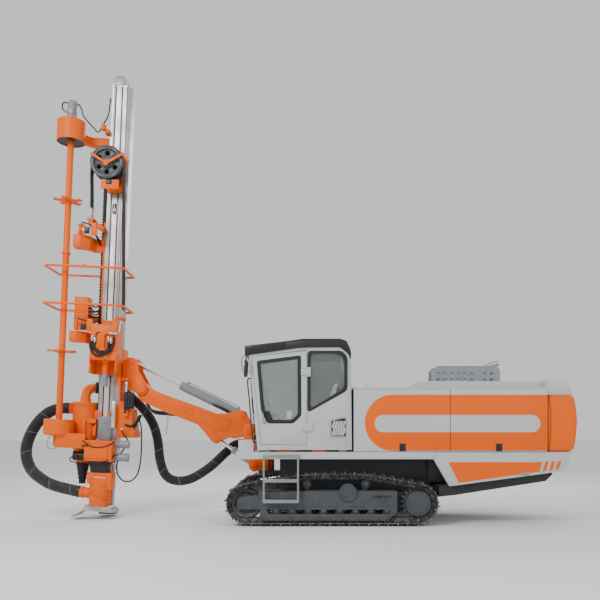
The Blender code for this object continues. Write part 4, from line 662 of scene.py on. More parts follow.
def beltPath(offset, step):
    wheels = [(*belt["idler"], belt["wheel"]), (*belt["drive"], belt["wheel"]),
              (belt["carriers"][1], belt["carrierZ"], belt["carrierRadius"]),
              (belt["carriers"][0], belt["carrierZ"], belt["carrierRadius"])]
    normals = []
    for i, (ax, az, ar) in enumerate(wheels):
        bx, bz, br = wheels[(i + 1) % 4]
        along = Vector((bx - ax, bz - az))
        k = (ar - br) / along.length
        along.normalize()
        normals.append(k * along + math.sqrt(1 - k * k) * Vector((along.y, -along.x)))
    path = []
    for i, (x, z, radius) in enumerate(wheels):
        start = math.atan2(normals[i - 1].y, normals[i - 1].x)
        sweep = (math.atan2(normals[i].y, normals[i].x) - start) % (2 * math.pi)
        count = max(1, math.ceil(math.degrees(sweep) / step))
        for j in range(count + 1):
            turn = start + sweep * j / count
            path.append(Vector((x, z)) + Vector((math.cos(turn), math.sin(turn))) * (radius + offset))
    return path


def alongBelt(path, share):
    lengths = [(path[(i + 1) % len(path)] - path[i]).length for i in range(len(path))]
    goal = share % 1.0 * sum(lengths)
    for i, length in enumerate(lengths):
        if goal <= length:
            return path[i].lerp(path[(i + 1) % len(path)], goal / length if length else 0)
        goal -= length
    return path[0]


def trackShoe(pitch):
    # one shoe with its two chain links, pin and bolts; x along the belt, z outwards
    half = belt["half"]
    pieces = [cube((-pitch * 0.5 + 0.003, -half, 0.0), (pitch * 0.5 - 0.003, half, 0.014), 0.003, 1),
              plate([(-0.06 * pitch, 0.012), (-0.03 * pitch, 0.048), (0.03 * pitch, 0.051), (0.07 * pitch, 0.050),
                     (0.12 * pitch, 0.012)], -half, half, 0.002, 1),
              plate([(-0.46 * pitch, 0.012), (-0.45 * pitch, 0.024), (-0.40 * pitch, 0.024), (-0.36 * pitch, 0.012)],
                    -half, half, 0, 1)]
    for y in (-0.06, 0.06):
        link = [(-pitch * 0.52, -0.055), (-pitch * 0.42, -0.074), (-pitch * 0.1, -0.074), (0, -0.066),
                (pitch * 0.1, -0.074), (pitch * 0.42, -0.074), (pitch * 0.52, -0.055), (pitch * 0.45, -0.004),
                (-pitch * 0.45, -0.004)]
        pieces.append(plate(link, y - 0.014, y + 0.014, 0.002, 1))
        for x in (-0.27, 0.27):
            pieces.append(bolt((pitch * x, y * 1.35, 0.012), (pitch * x, y * 1.35, 0.026), 0.012, 0))
    pieces.append(bar((-pitch * 0.5, -0.085, -0.042), (-pitch * 0.5, 0.085, -0.042), 0.021, 12, 0.002))
    return joined(pieces)


def trackLoop(name, side):
    inner = beltPath(belt["rail"], 3)
    count = belt["shoes"]
    corners = [alongBelt(inner, i / count) for i in range(count)]
    shoe = trackShoe((corners[1] - corners[0]).length)
    places = []
    for i in range(count):
        one, other = corners[i], corners[(i + 1) % count]
        middle = (one + other) / 2
        along = (other - one).normalized()
        # the belt runs so that its outside lies to the right of its direction
        turn = Matrix(((-along.x, 0, along.y, 0), (0, 1, 0, 0), (-along.y, 0, -along.x, 0), (0, 0, 0, 1)))
        places.append(Matrix.Translation((middle.x, side * belt["centre"], middle.y)) @ turn)
    put(name + "TrackShoes", "machine", "track", again(shoe, places), nodes=[name + "_track"], smooth=30)


roller = {"first": -0.139, "last": 1.606, "count": 8, "z": 0.197, "radius": 0.0695, "half": 0.13}


def trackBeam(name, side):
    c = side * belt["centre"]
    face = c + side * 0.145

    def across(near, far):
        return tuple(sorted((c + side * near, c + side * far)))

    beam = plate([(c - 0.143, 0.285), (c + 0.143, 0.285), (c + 0.143, 0.522), (c + 0.113, 0.557), (c - 0.113, 0.557),
                  (c - 0.143, 0.522)], -0.42, 1.755, 0.006, axis="X")
    pieces = [beam]
    lowGuard = [(-0.40, 0.262), (-0.40, 0.150), (-0.34, 0.086), (1.60, 0.086), (1.70, 0.160), (1.742, 0.215),
                (1.742, 0.262)]
    lowGuard += [(1.66, 0.262), (1.64, 0.192), (-0.26, 0.192), (-0.29, 0.262)]
    pitch = (roller["last"] - roller["first"]) / (roller["count"] - 1)
    for edge in (-1, 1):
        y = c + edge * 0.139
        pieces.append(plate(roundOff(lowGuard, 0.02, 4), y - 0.006, y + 0.006, 0.002))
        pieces.append(cube((-0.424, y - 0.011, 0.262), (1.757, y + 0.011, 0.290), 0.004))
        for i in range(roller["count"]):
            x = roller["first"] + i * pitch
            hanger = [(x - 0.046, 0.268), (x - 0.030, 0.212), (x + 0.030, 0.212), (x + 0.046, 0.268)]
            pieces.append(plate(hanger, y - 0.006, y + 0.008, 0.003))
            pieces.append(bolt((x, y - edge * 0.004, 0.24), (x, y + edge * 0.014, 0.24), 0.010, 0))
        yoke = [(-0.750, 0.265), (-0.40, 0.265), (-0.40, 0.50), (-0.70, 0.455), (-0.750, 0.42)]
        pieces.append(plate(roundOff(yoke, 0.04, 4), y - 0.007, y + 0.006, 0.003))
        pieces.append(cube((1.72, y - 0.010, 0.200), (1.763, y + 0.010, 0.545), 0.004))
    # the oblong access hole and its raised rim
    rim = roundOff([(1.364, 0.428), (1.679, 0.428), (1.679, 0.491), (1.364, 0.491)], 0.02, 4)
    pieces.append(band(rim, 0.012, face - 0.006, face + 0.006))
    arm = arc(belt["drive"], 0.168, -80, 80, 15) + [(1.62, 0.52), (1.62, 0.24)]
    pieces.append(plate(arm, *across(-0.145, -0.121), 0.004))
    for x in belt["carriers"]:
        pieces.append(box((x - 0.035, x + 0.035), (c - 0.035, c + 0.035), (0.545, 0.64), 0.006))
    for x in (0.20, 0.55, 1.16):
        pieces.append(bolt((x, face, 0.335), (x, face + side * 0.008, 0.335), 0.012, 0))
    put(name + "TrackBeam", "machine", "dark", pieces, nodes=[name + "_track_frame"])

    shade = cube((1.372, min(face, face + side * 0.001), 0.436), (1.671, max(face, face + side * 0.001), 0.483), 0)
    put(name + "AccessShade", "machine", "black", shade)

    wheels = []
    for i in range(roller["count"]):
        x = roller["first"] + i * pitch
        half, r = roller["half"] - 0.012, roller["radius"]
        shape = [(0, -half), (0.03, -half), (0.03, -half + 0.012), (r, -half + 0.014), (r, -half + 0.028),
                 (r - 0.016, -half + 0.034), (r - 0.016, half - 0.034), (r, half - 0.028), (r, half - 0.014),
                 (0.03, half - 0.012), (0.03, half), (0, half)]
        wheels.append(lathe(shape, (x, c, roller["z"]), (0, 1, 0), 24))
    for x in belt["carriers"]:
        r = belt["carrierRadius"] - 0.001
        shape = [(0, -0.108), (r - 0.022, -0.108), (r - 0.016, -0.100), (r - 0.004, -0.100), (r, -0.094), (r, 0.094),
                 (r - 0.004, 0.100), (r - 0.016, 0.100), (r - 0.022, 0.108), (0, 0.108)]
        wheels.append(lathe(shape, (x, c, belt["carrierZ"]), (0, 1, 0), 32))
        for hubX, hubZ in around(3, 90, 0.026, (x, belt["carrierZ"])):
            wheels.append(bolt((hubX, c + side * 0.106, hubZ), (hubX, c + side * 0.114, hubZ), 0.009, 0))
    r = belt["wheel"] - 0.0024
    idler = [(0, -0.133), (0.065, -0.133), (0.070, -0.128), (0.070, -0.080), (0.150, -0.060), (r - 0.02, -0.096),
             (r, -0.096), (r, -0.042), (r + 0.03, -0.034), (r + 0.03, 0.034), (r, 0.042), (r, 0.096),
             (r - 0.02, 0.096), (0.150, 0.060), (0.070, 0.080), (0.070, 0.128), (0.065, 0.133), (0, 0.133)]
    wheels.append(lathe(idler, (belt["idler"][0], c, belt["idler"][1]), (0, 1, 0), 48))
    put(name + "TrackRollers", "machine", "track", wheels)

    cap = [lathe([(0, 0.0), (0.138, 0.0), (0.140, 0.004), (0.140, 0.050), (0.134, 0.056), (0.120, 0.056),
                  (0.116, 0.052), (0, 0.052)], (belt["pivot"][0], c + side * 0.118, belt["pivot"][1]), (0, side, 0),
                 48)]
    for x, z in around(6, 30, 0.092, belt["pivot"]):
        cap.append(bolt((x, c + side * 0.168, z), (x, c + side * 0.176, z), 0.010))
    put(name + "PivotCap", "machine", "dark", cap)


def driveWheel(name, side):
    c = side * belt["centre"]
    x, z = belt["drive"]
    root, tip = belt["wheel"] - 0.002, belt["wheel"] + 0.046
    teeth = []
    for i in range(belt["teeth"]):
        for share, radius in ((0.0, root), (0.16, root - 0.004), (0.3, root), (0.50, tip - 0.004), (0.58, tip),
                              (0.72, tip), (0.80, tip - 0.004)):
            turn = 2 * math.pi * (i + share) / belt["teeth"]
            teeth.append((x + radius * math.cos(turn), z + radius * math.sin(turn)))
    ring = plate(teeth, c - 0.029, c + 0.029, 0.003, 1)
    inner = c - side * 0.1207
    hub = lathe([(0, 0), (0.168, 0), (0.170, 0.004), (0.170, 0.196), (0.197, 0.200), (0.200, 0.204), (0.200, 0.256),
                 (0.194, 0.264), (0.150, 0.272), (0.146, 0.280), (0.120, 0.285), (0, 0.285)],
                (x, inner, z), (0, side, 0), 56)
    pieces = [ring, hub]
    # bolts near the rim and plugs round the middle
    for count, first, radius, depth, rise, size, edge in ((12, 15, 0.182, 0.262, 0.012, 0.009, 0.001),
                                                          (3, 40, 0.085, 0.283, 0.006, 0.012, 0)):
        for boltX, boltZ in around(count, first, radius, (x, z)):
            pieces.append(bolt((boltX, inner + side * depth, boltZ), (boltX, inner + side * (depth + rise), boltZ),
                               size, edge))
    put(name + "DriveWheel", "machine", "dark", pieces, nodes=[name + "_sprocket"])


for name, side in (("left", -1), ("right", 1)):
    trackLoop(name, side)
    trackBeam(name, side)
    driveWheel(name, side)
print("undercarriage built")


# Cab

cab = {"near": -1.15, "face": -1.155, "floor": 1.20, "glassFoot": -0.435, "glassHeight": 1.492,
       "glassLean": -0.131}
doorGlass = [(-0.443, 2.598), (-0.377, 1.828), (-0.271, 1.619), (0.128, 1.619), (0.255, 1.739), (0.248, 2.686)]
sideGlass = [(0.40, 1.85), (0.93, 2.17), (0.93, 2.63), (0.84, 2.72), (0.40, 2.72)]
sideRim = [(0.350, 1.782), (0.985, 2.135), (0.985, 2.66), (0.90, 2.762), (0.350, 2.762)]


def cabPanels():
    y = cab["near"]
    # black border of the rear side window, flush on the shell
    rim = plate(roundOff(sideRim, 0.07, 6), y - 0.006, y + 0.002, 0.002)
    cutBy(rim, plate(roundOff(sideGlass, 0.06, 6), y - 0.1, y + 0.1, 0))
    put("sideWindowBorder", "machine", "plastic", rim)
    # vent panel: framed, with slanted slats
    frameLine = roundOff([(0.714, 1.401), (0.968, 1.401), (0.968, 1.709), (0.905, 1.712), (0.714, 1.665)], 0.03, 5)
    pieces = [band(frameLine, 0.012, y - 0.010, y + 0.002)]
    for i in range(5):
        x = 0.755 + 0.041 * i
        slat = [(x - 0.028, 1.43), (x + 0.003, 1.43), (x + 0.038, 1.53), (x + 0.011, 1.565), (x + 0.038, 1.655),
                (x + 0.008, 1.655), (x - 0.021, 1.565), (x + 0.007, 1.53)]
        pieces.append(plate(slat, y - 0.010, y + 0.001, 0.001, 1))
    put("ventPanel", "machine", "grey", pieces)
    put("ventShade", "machine", "black", plate(shrunk(frameLine, -0.005), y - 0.004, y + 0.001, 0))
    # sill under the cab and the gutter over the door
    pieces = [cube((-0.43, y - 0.004, 1.202), (1.045, y + 0.004, 1.222), 0.003)]
    pieces.append(pipe(smoothPath([(-0.55, y - 0.006, 2.70), (-0.15, y - 0.006, 2.755), (0.25, y - 0.006, 2.80),
                                   (0.60, y - 0.006, 2.808), (0.86, y - 0.006, 2.80), (0.965, y - 0.006, 2.722),
                                   (1.022, y - 0.006, 2.60), (1.032, y - 0.006, 2.2)], 6), 0.007, 2))
    put("cabTrim", "machine", "grey", pieces)
    # mounts that show as orange under the floor
    mounts = [cube((x, -1.10, 1.17), (x + 0.22, -0.98, 1.198), 0.006) for x in (-0.12, 0.42)]
    put("cabMountPads", "machine", "orange", mounts)


def cabDoorPieces():
    y = cab["face"]
    ring = plate(roundOff(shrunk(doorGlass, -0.004), 0.05, 6), y - 0.003, y + 0.012, 0.002)
    cutBy(ring, plate(roundOff(shrunk(doorGlass, 0.044), 0.03, 6), y - 0.1, y + 0.1, 0))
    corner = plate([(-0.362, 1.80), (-0.262, 1.628), (-0.20, 1.628), (-0.20, 1.70), (-0.255, 1.812)], y - 0.001,
                   y + 0.012, 0.001)
    put("doorGlassBorder", "cab_door", "plastic", [ring, corner])
    seal = band(roundOff(shrunk(doorGlass, 0.042), 0.035, 6), 0.010, y - 0.005, y + 0.006)
    put("doorGlassSeal", "cab_door", "rubber", seal)
    hinges, pads = [], []
    for low, high in ((1.511, 1.636), (2.374, 2.48)):
        hinges.append(cube((0.262, y - 0.014, low), (0.334, y - 0.004, high), 0.006, 3))
        pads.append(cube((0.257, y - 0.006, low - 0.006), (0.337, y + 0.001, high + 0.006), 0.002))
        for z in (low + 0.03, high - 0.03):
            hinges.append(bolt((0.285, y - 0.012, z), (0.285, y - 0.020, z), 0.008))
    put("doorHingeLeaves", "cab_door", "grey", hinges)
    put("doorHingePads", "cab_door", "rubber", pads)
    shellHinges = []
    for low, high in ((1.491, 1.656), (2.354, 2.50)):
        shellHinges.append(cube((0.359, cab["near"] - 0.030, low), (0.402, cab["near"] - 0.020, high), 0.005, 3))
        for z in (low + 0.035, high - 0.035):
            shellHinges.append(bolt((0.384, cab["near"] - 0.028, z), (0.384, cab["near"] - 0.036, z), 0.008))
    put("shellHingeLeaves", "machine", "grey", shellHinges)
    grip = smoothPath([(-0.330, y - 0.004, 1.635), (-0.330, y - 0.036, 1.645), (-0.330, y - 0.042, 1.70),
                       (-0.330, y - 0.042, 1.74), (-0.330, y - 0.036, 1.79), (-0.330, y - 0.004, 1.80)], 5)
    handle = [pipe(grip, 0.011, 4), cube((-0.352, y - 0.012, 1.618), (-0.308, y + 0.002, 1.668), 0.004),
              cube((-0.352, y - 0.012, 1.775), (-0.308, y + 0.002, 1.815), 0.004),
              lathe([(0, 0), (0.011, 0), (0.011, 0.008), (0.007, 0.010), (0, 0.010)], (-0.330, y - 0.010, 1.632),
                    (0, -1, 0), 20)]
    put("doorHandle", "cab_door", "black", handle)
    pressed = band(roundOff([(-0.515, 2.652), (-0.366, 1.300), (0.328, 1.292), (0.328, 2.748)], 0.03, 5), 0.006,
                 y - 0.0035, y + 0.003)
    put("doorPressedLine", "cab_door", "grey", pressed)


def cabRoofPieces():
    y = cab["near"]
    visor = [(-0.618, 2.700), (-0.57, 2.712), (-0.05, 2.778), (-0.01, 2.880), (-0.618, 2.822)]
    pieces = [plate(visor, y - 0.026, y - 0.016, 0.003)]
    pieces.append(plate([(0.0, 2.79), (0.86, 2.835), (0.98, 2.76), (1.005, 2.80), (0.955, 2.895), (0.86, 2.925),
                         (0.29, 2.925), (0.02, 2.89)], y - 0.027, y - 0.018, 0.004))
    for i in range(9):
        x = -0.55 + i * 0.052
        pieces.append(cube((x, y - 0.031, 2.735 + 0.0055 * i), (x + 0.012, y - 0.022, 2.80 + 0.0055 * i), 0.002, 1))
    pieces.append(lathe([(0, 0), (0.034, 0), (0.034, 0.006), (0.022, 0.010), (0.020, 0.022), (0.012, 0.030),
                         (0, 0.032)], (0.60, -0.90, 2.946), (0, 0, 1), 28))
    pieces.append(pipe([(0.60, -0.90, 2.97), (0.60, -0.90, 3.0)], 0.004, 2))
    for row in (-1.02, -0.34):
        rail = [(-0.5, row, 2.850), (0.0, row, 2.918), (0.35, row, 2.955), (0.8, row, 2.955)]
        pieces.append(pipe(smoothPath(rail, 5), 0.010, 2))
    put("roofTrim", "machine", "black", pieces)
    # work lamps under the visor
    lamps, lenses = [], []
    for row in (-0.98, -0.38):
        lamps.append(cube((-0.628, row - 0.07, 2.745), (-0.590, row + 0.07, 2.815), 0.010, 3))
        lenses.append(cube((-0.634, row - 0.060, 2.753), (-0.626, row + 0.060, 2.807), 0.003))
    put("workLamps", "machine", "plastic", lamps)
    put("workLampLenses", "machine", "chrome", lenses)
    # mirrors on bent arms at the front corner
    arms = [pipe(smoothPath([(-0.55, y + 0.02, 2.66), (-0.60, y - 0.03, 2.665), (-0.665, y - 0.07, 2.65),
                             (-0.675, y - 0.07, 2.55), (-0.655, y - 0.07, 2.43), (-0.60, y - 0.05, 2.42),
                             (-0.545, y + 0.01, 2.44)], 6), 0.008, 3),
            pipe(smoothPath([(-0.60, y - 0.05, 2.66), (-0.62, y - 0.08, 2.58), (-0.61, y - 0.09, 2.50)], 5), 0.006, 3)]
    put("mirrorArms", "machine", "steel", arms)
    glassOutline = roundOff([(-0.640, 2.335), (-0.585, 2.345), (-0.565, 2.58), (-0.610, 2.60), (-0.640, 2.50)], 0.02, 5)
    put("mirrorHead", "machine", "plastic", plate(glassOutline, y - 0.10, y - 0.055, 0.012, 3))


def cabFrontPieces():
    # wiper in front of the windscreen, and the rail beside it
    def front(z, out=0.0):
        return cab["glassFoot"] + (z - cab["floor"]) / cab["glassHeight"] * cab["glassLean"] - out

    pieces = [pipe([(front(z, 0.028), -0.98, z) for z in (1.42, 1.62, 1.82, 2.02)], 0.008, 3),
              pipe([(front(z, 0.030), -0.93, z) for z in (1.42, 1.62, 1.82, 2.00)], 0.006, 3),
              cube((front(1.42, 0.05), -1.01, 1.36), (front(1.42), -0.90, 1.44), 0.008),
              plate([(front(1.78, 0.026), 1.78), (front(1.78, 0.014), 1.78), (front(2.30, 0.014), 2.30),
                     (front(2.30, 0.026), 2.30)], -0.975, -0.965, 0.002)]
    put("wiper", "machine", "black", pieces)
    rail = [(front(1.33), -1.11, 1.33), (front(1.34, 0.055), -1.12, 1.34), (front(1.6, 0.06), -1.12, 1.6),
            (front(2.0, 0.06), -1.12, 2.0), (front(2.30, 0.058), -1.12, 2.30), (front(2.32), -1.11, 2.32)]
    put("frontRail", "machine", "black", pipe(smoothPath(rail, 5), 0.011, 3))
    seal = band(roundOff([(-1.10, 1.49), (-0.25, 1.49), (-0.25, 2.61), (-1.10, 2.61)], 0.05, 5), 0.02, -0.006, 0.006,
                axis="X")
    for vertex in seal.data.vertices:
        vertex.co.x += front(vertex.co.z)
    put("windscreenSeal", "machine", "rubber", seal)


# the pads are blown up for a few steps of the cloth, and no corner goes further than give
seatForm = {"width": 0.47, "x": 0.30, "y": -0.675, "voxel": 0.010, "pressure": 3.0, "steps": 10, "give": 0.010,
            "fill": 0.7}


def cabInside():
    x, y = seatForm["x"], seatForm["y"]
    pieces = [plate(roundOff([(-0.36, 1.26), (-0.20, 1.26), (-0.22, 1.62), (-0.28, 1.78), (-0.40, 1.80)], 0.03),
                    y - 0.05, y + 0.36, 0.010, 3),
              plate(roundOff([(-0.335, 1.78), (-0.315, 1.77), (-0.265, 1.97), (-0.285, 1.98)], 0.008), y - 0.02,
                    y + 0.20, 0.004),
              cube((x - 0.05, y - 0.17, 1.26), (x + 0.34, y + 0.17, 1.50), 0.02, 3),
              cube((x - 0.10, y - 0.235, 1.495), (x + 0.42, y + 0.235, 1.558), 0.012, 3),
              cube((-0.35, y - 0.15, 1.2505), (0.40, y + 0.15, 1.27), 0.004)]
    for edge in (-1, 1):
        near, far = sorted((y + edge * 0.268, y + edge * 0.342))
        arm = roundOff([(x - 0.13, 1.74), (x - 0.10, 1.82), (x + 0.36, 1.82), (x + 0.40, 1.70), (x + 0.30, 1.50),
                        (x + 0.05, 1.50)], 0.04)
        pieces.append(plate(arm, near, far, 0.010, 3))
        stick = (x - 0.06, (near + far) / 2)
        pieces.append(lathe([(0, 0), (0.030, 0), (0.022, 0.03), (0.010, 0.04), (0.010, 0.09), (0.018, 0.11),
                             (0.022, 0.15), (0.018, 0.175), (0, 0.18)], (*stick, 1.815), (0, 0, 1), 20))
    put("seatBase", "machine", "plastic", pieces, nodes=["seat_frame"])
    rail = smoothPath([(-0.24, -1.06, 1.78), (-0.16, -1.06, 1.76), (-0.05, -1.06, 1.66), (0.06, -1.06, 1.60),
                       (0.15, -1.06, 1.66)], 6)
    put("insideRail", "machine", "grey", pipe(rail, 0.009, 3))
    put("consoleScreen", "machine", "plastic", [cube((-0.30, -0.52, 1.86), (-0.275, -0.34, 1.98), 0.006),
        lathe([(0, 0), (0.05, 0), (0.05, 0.16), (0.03, 0.17), (0, 0.17)], (0.10, -0.38, 1.62), (0, 0, 1), 24)])


def puff(pad):
    # blows the pad up a little as stuffed cloth
    base = [vertex.co.copy() for vertex in pad.data.vertices]
    work(pad)
    cloth = pad.modifiers.new("cloth", "CLOTH")
    cloth.settings.use_pressure = True
    cloth.settings.uniform_pressure_force = seatForm["pressure"]
    cloth.settings.effector_weights.gravity = 0
    for step in range(1, seatForm["steps"] + 1):
        bpy.context.scene.frame_set(step)
    shown = pad.evaluated_get(bpy.context.evaluated_depsgraph_get())
    moved = [vertex.co.copy() for vertex in shown.data.vertices]
    pad.modifiers.remove(cloth)
    bpy.context.scene.frame_set(1)
    for vertex, one, other in zip(pad.data.vertices, base, moved):
        way = other - one
        vertex.co = one + way * min(1.0, seatForm["give"] / max(way.length, 1e-6))


def seatPads():
    x, y = seatForm["x"], seatForm["y"]
    half = seatForm["width"] / 2
    pads = []
    # seat, back and head rest: outline and share of the width
    for outline, share in (
            ([(x - 0.095, 1.567), (x + 0.385, 1.567), (x + 0.40, 1.66), (x + 0.30, 1.675), (x - 0.07, 1.672)], 1.0),
            ([(x + 0.325, 1.69), (x + 0.428, 1.668), (x + 0.500, 2.06), (x + 0.425, 2.07)], 1.0),
            ([(x + 0.410, 2.10), (x + 0.485, 2.09), (x + 0.510, 2.28), (x + 0.420, 2.29)], 0.62)):
        pad = plate(roundOff(outline, 0.03, 4), y - half * share, y + half * share, 0.020, 3)
        apply(pad, "REMESH", mode="VOXEL", voxel_size=seatForm["voxel"])
        puff(pad)
        apply(pad, "SMOOTH", factor=0.5, iterations=4)
        apply(pad, "SUBSURF", levels=1, render_levels=1)
        pads.append(pad)
    seat = put("seatCushionPads", "machine", "cloth", pads, nodes=["seat_cushion"], smooth=60)


cabPanels()
cabDoorPieces()
cabRoofPieces()
cabFrontPieces()
cabInside()
seatPads()
print("cab built")


# Hood

hood = {"front": 1.075, "seam": 2.604, "rear": 4.14, "half": 1.075, "floor": 1.1693, "top": 2.16,
        "bandLow": 1.190, "bandHigh": 2.069, "pill": (1.408, 4.019, 1.480, 1.751)}


def hoodDoors():
    h = hood["half"]
    spans = {"front": (hood["front"] + 0.006, hood["seam"] - 0.004),
             "rear": (hood["seam"] + 0.004, hood["rear"] - 0.006)}
    low, high = hood["bandLow"], hood["bandHigh"]
    reach = (high - low) / 2
    pillLow, pillHigh = hood["pill"][2:]
    pillReach = (pillHigh - pillLow) / 2
    for side, hand in ((-1, "left"), (1, "right")):
        for place, (x0, x1) in spans.items():
            node = "hood_door_" + place + "_" + hand
            title = "hoodDoor" + place.capitalize() + hand.capitalize()
            inner, outer = side * (h + 0.008), side * (h + 0.048)
            leaf = [cube((x0, min(inner, outer), hood["floor"] + 0.006), (x1, max(inner, outer), hood["top"] - 0.003),
                         0.005, 3)]
            for share in (0.2, 0.8):
                x = x0 + share * (x1 - x0)
                leaf.append(bar((x - 0.06, side * (h + 0.028), hood["top"] + 0.012),
                                (x + 0.06, side * (h + 0.028), hood["top"] + 0.012), 0.0138, 20, 0.002))
                leaf.append(box((x - 0.05, x + 0.05), (side * (h + 0.022), side * (h + 0.034)),
                                (hood["top"] - 0.03, hood["top"] + 0.012), 0.002))
            put(title, node, "grey", leaf, nodes=[node])
            if place == "front":
                form = arc((x0 + 0.176 + reach, (low + high) / 2), reach, 90, 270, 41)
                form += [(x1 - 0.001, low), (x1 - 0.001, high)]
                inlay = arc((hood["pill"][0] + pillReach, (pillLow + pillHigh) / 2), pillReach, 90, 270, 25)
                inlay += [(x1 - 0.001, pillLow), (x1 - 0.001, pillHigh)]
            else:
                form = [(x0 + 0.001, low), (x1 - 0.001, low), (x1 - 0.001, high), (x0 + 0.001, high)]
                inlay = arc((hood["pill"][1] - pillReach, (pillLow + pillHigh) / 2), pillReach, -90, 90, 25)
                inlay += [(x0 + 0.001, pillHigh), (x0 + 0.001, pillLow)]
            stripe = plate(form, *sorted((outer - side * 0.004, outer + side * 0.010)), 0.003)
            put(title + "Band", node, "orange", stripe)
            pill = sorted((outer + side * 0.008, outer + side * 0.0115))
            put(title + "Pill", node, "grey", plate(inlay, *pill, 0.0008, 1))
            latchX = {"front": 1.85, "rear": 3.37}[place]
            face = outer + side * 0.010
            latch = [box((latchX - 0.050, latchX + 0.050), (face - side * 0.004, face + side * 0.004), (1.182, 1.300)),
                     box((latchX - 0.032, latchX + 0.032), (face, face + side * 0.012), (1.195, 1.262), 0.005, 3),
                     bar((latchX, face, 1.28), (latchX, face + side * 0.008, 1.28), 0.009, 20, 0.001)]
            put(title + "Latch", node, "plastic", latch)


def hoodSeal():
    reach = hood["half"] + 0.044
    seal = box((hood["front"] - 0.004, hood["front"] + 0.003), (-reach, reach), (hood["floor"], 2.155), 0.001, 1)
    put("hoodSeal", "machine", "rubber", seal)


def rearCap():
    # curved cover: its plan bulges and its side has the outline of the source
    outline = [(4.1403, 1.1697), (4.545, 1.1697), (4.578, 1.25), (4.600, 1.36), (4.615, 1.50), (4.6245, 1.64),
               (4.615, 1.80), (4.596, 1.93), (4.565, 2.0687), (4.1403, 2.0687)]
    cap = plate(outline, -1.12, 1.12, 0)
    apply(cap, "BEVEL", width=0.07, segments=6, limit_method="ANGLE", angle_limit=math.radians(60),
          use_clamp_overlap=True)
    put("rearCapPanel", "machine", "coverOrange", cap, nodes=["rear_cap"], smooth=30)
    seamLine = []
    for side in (-1, 1):
        path = smoothPath([(4.150, side * 1.1205, 1.18), (4.178, side * 1.1205, 1.38), (4.190, side * 1.1205, 1.62),
                           (4.182, side * 1.1205, 1.86), (4.155, side * 1.1205, 2.06)], 8)
        seamLine.append(pipe(path, 0.003, 2))
    put("rearCapSeam", "machine", "black", seamLine)
    grille = []
    for i in range(11):
        z = 1.42 + 0.045 * i
        bulge = 4.6245 - 0.45 * (z - 1.64) ** 2
        grille.append(cube((bulge - 0.01, -0.62, z), (bulge + 0.0005, 0.62, z + 0.018), 0.002, 1))
    put("rearGrille", "machine", "black", grille)


def skirts():
    edge = [(2.347, 1.168), (2.347, 1.054), (2.596, 0.624), (4.449, 0.871), (4.53, 1.168)]
    wedge = roundOff([(2.578, 1.007), (4.062, 1.007), (4.015, 0.854), (2.742, 0.680)], 0.006, 3)
    plates, marks, pocketShades = [], [], []
    for side in (-1, 1):
        plates.append(plate(edge, *sorted((side * 1.0003, side * 1.10)), 0.006))
        lip = [(2.347, 1.150), (4.52, 1.150), (4.53, 1.168), (2.347, 1.168)]
        plates.append(plate(lip, *sorted((side * 1.09, side * 1.106)), 0.002))
        span = sorted((side * 1.098, side * 1.1025))
        marks.append(plate(wedge, *span, 0.0006, 1))
        for i, foot in enumerate((0.863, 0.871, 0.895)):
            x = 4.111 + 0.100 * i
            marks.append(plate([(x, 1.021), (x + 0.052, 1.021), (x + 0.006, foot + 0.004), (x - 0.050, foot - 0.004)],
                               *span, 0.0006, 1))
        # painted shade: flat darker grey half-discs on the skirts stand in for the shadow inside the pockets
        pocketShades.append(plate(arc((3.79, 0.790), 0.060, 0, 180, 17), *sorted((side * 1.097, side * 1.103)), 0.002))
    put("sideSkirts", "machine", "grey", plates)
    put("skirtMarks", "machine", "orange", marks)
    put("skirtPocketShade", "machine", "cylinder", pocketShades)
    pan = [(2.45, 0.45), (2.70, 0.475), (4.15, 0.70), (4.25, 0.80), (4.25, 0.90), (2.62, 0.65), (2.45, 0.62)]
    pieces = [plate(pan, -1.0, 1.0, 0.008), cube((4.18, -1.0, 0.80), (4.255, -0.90, 0.86), 0.006)]
    put("bellyPan", "machine", "black", pieces, nodes=["belly_skirts"])


